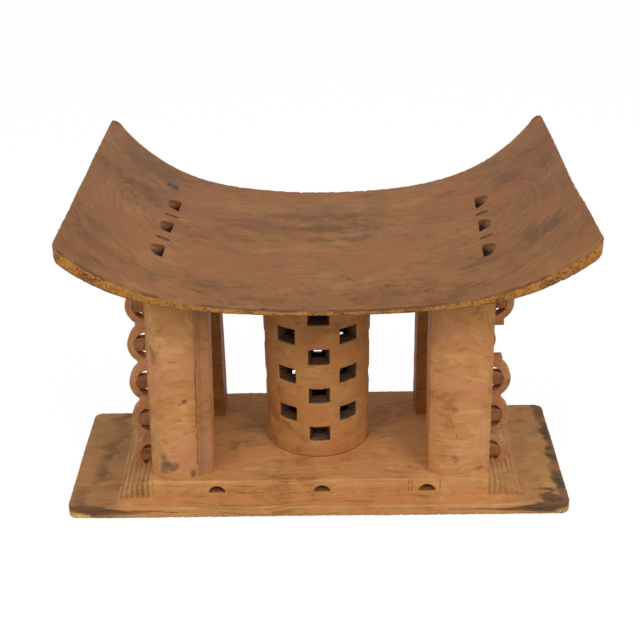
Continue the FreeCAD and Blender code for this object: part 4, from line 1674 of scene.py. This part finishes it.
@dataclass
class Studio:
    """The plain pale floor, soft lamps and the camera."""

    camera_place: tuple[float, float, float] = (0.01104, -1.12112, 0.72995)
    camera_turn: tuple[float, float, float] = (63.008, 0.747, 0.019)
    lens: float = 71.06
    sensor: float = 36.0
    lamps: tuple[Lamp, ...] = (
        Lamp("Key_left", (-0.86, -1.18, 1.35), 0.7, 8.0),
        Lamp("Key_right", (0.86, -1.18, 1.35), 0.7, 12.0),
        Lamp("Top", (0.0, 0.0, 1.8), 1.0, 6.0),
    )
    lamp_tint: Colour = (1.0, 0.985, 0.96)
    aim: tuple[float, float, float] = (0.0, 0.0, 0.13)
    sky: float = 0.47
    sky_shown: float = 1.0
    sky_share: float = 1.0
    floor_reach: float = 8.0
    floor_tone: Colour = (0.6, 0.6, 0.6)
    floor_shown: float = 1.05
    floor_share: float = 0.92

    def _camera(self) -> None:
        """Sets the camera at the photograph's viewing angle."""
        data = bpy.data.cameras.new("Camera")
        data.lens = self.lens
        data.sensor_width = self.sensor
        camera = bpy.data.objects.new("Camera", data)
        camera.location = self.camera_place
        camera.rotation_euler = Euler([math.radians(turn) for turn in self.camera_turn])
        bpy.context.scene.collection.objects.link(camera)
        bpy.context.scene.camera = camera

    def _hang(self, lamp: Lamp) -> None:
        """Hangs a lamp that faces the stool.

        Args:
            lamp: The lamp.
        """
        data = bpy.data.lights.new(lamp.name, "AREA")
        data.size = lamp.size
        data.energy = lamp.power
        data.color = self.lamp_tint
        hung = bpy.data.objects.new(lamp.name, data)
        hung.location = lamp.place
        hung.rotation_euler = (Vector(self.aim) - Vector(lamp.place)).to_track_quat("-Z", "Y").to_euler()
        bpy.context.scene.collection.objects.link(hung)

    @staticmethod
    def _glow(bench: Bench, kind: str, strength: float) -> Socket:
        """Adds an even white glow.

        Args:
            bench: The node tree.
            kind: The kind of node that glows.
            strength: How strong the glow is.

        Returns:
            The glow.
        """
        glow = bench.add(kind)
        bench.feed(glow.inputs["Color"], (1.0, 1.0, 1.0))
        bench.feed(glow.inputs["Strength"], strength)
        return glow.outputs[0]

    @staticmethod
    def _shown_white(bench: Bench, plain: Socket, white: Socket, share: float) -> Socket:
        """Shows white to the camera and in reflections, and leaves the light on the stool as it is.

        Args:
            bench: The node tree.
            plain: What lights the stool.
            white: What is shown.
            share: The share of it that is shown.

        Returns:
            The two of them mixed.
        """
        rays = bench.add("ShaderNodeLightPath").outputs
        seen = bench.sum("MAXIMUM", rays["Is Camera Ray"], rays["Is Glossy Ray"])
        seen = bench.sum("MAXIMUM", seen, rays["Is Transmission Ray"])
        mix = bench.add("ShaderNodeMixShader")
        for socket, value in zip(mix.inputs, (bench.sum("MULTIPLY", seen, share), plain, white)):
            bench.feed(socket, value)
        return mix.outputs[0]

    def _floor(self) -> None:
        """Lays the plain pale floor."""
        mesh = bpy.data.meshes.new("Floor")
        signs = ((-1.0, -1.0), (1.0, -1.0), (1.0, 1.0), (-1.0, 1.0))
        corners = [(self.floor_reach * along, self.floor_reach * across, 0.0) for along, across in signs]
        mesh.from_pydata(corners, [], [(0, 1, 2, 3)])
        floor = bpy.data.objects.new("Floor", mesh)
        bpy.context.scene.collection.objects.link(floor)
        material = bpy.data.materials.new("Floor_paper")
        bench = Bench(material)
        paper = bench.add("ShaderNodeBsdfDiffuse")
        bench.feed(paper.inputs["Color"], self.floor_tone)
        white = self._glow(bench, "ShaderNodeEmission", self.floor_shown)
        shown = self._shown_white(bench, paper.outputs[0], white, self.floor_share)
        bench.close("ShaderNodeOutputMaterial", shown)
        mesh.materials.append(material)

    def _world(self) -> None:
        """Lights the stool with a soft pale sky that shows white."""
        world = bpy.data.worlds.new("Studio")
        bpy.context.scene.world = world
        bench = Bench(world)
        sky, white = (self._glow(bench, "ShaderNodeBackground", glow) for glow in (self.sky, self.sky_shown))
        bench.close("ShaderNodeOutputWorld", self._shown_white(bench, sky, white, self.sky_share))

    def build(self) -> None:
        """Sets up the studio."""
        self._camera()
        self._floor()
        self._world()
        for lamp in self.lamps:
            self._hang(lamp)
        bpy.context.scene.view_settings.view_transform = "Standard"


def main() -> None:
    """Builds the studio and the stool, member by member."""
    logging.basicConfig(level=logging.INFO, format="%(name)s: %(message)s")
    Studio().build()
    post_wood = POST_WOOD.material()
    rear_painted_shade_wood = REAR_PAINTED_SHADE_WOOD.material()
    fretwork_wood = FRETWORK_WOOD.material()
    foot_wood = FOOT_WOOD.material()
    foot = Foot()
    foot.carve_slab(foot_wood)
    foot.carve_step(foot_wood)
    Column().carve(COLUMN_WOOD.material())
    for corner in CORNERS:
        at_rear = corner.place.startswith("rear")
        # The rear posts and wings take the darker copy of the wood: painted shade.
        corner.carve_post(rear_painted_shade_wood if at_rear else post_wood)
        corner.carve_wing(rear_painted_shade_wood if at_rear else fretwork_wood)
    Seat().carve(SEAT_WOOD.material(), PLUG_WOOD.material())


if __name__ == "__main__":
    main()
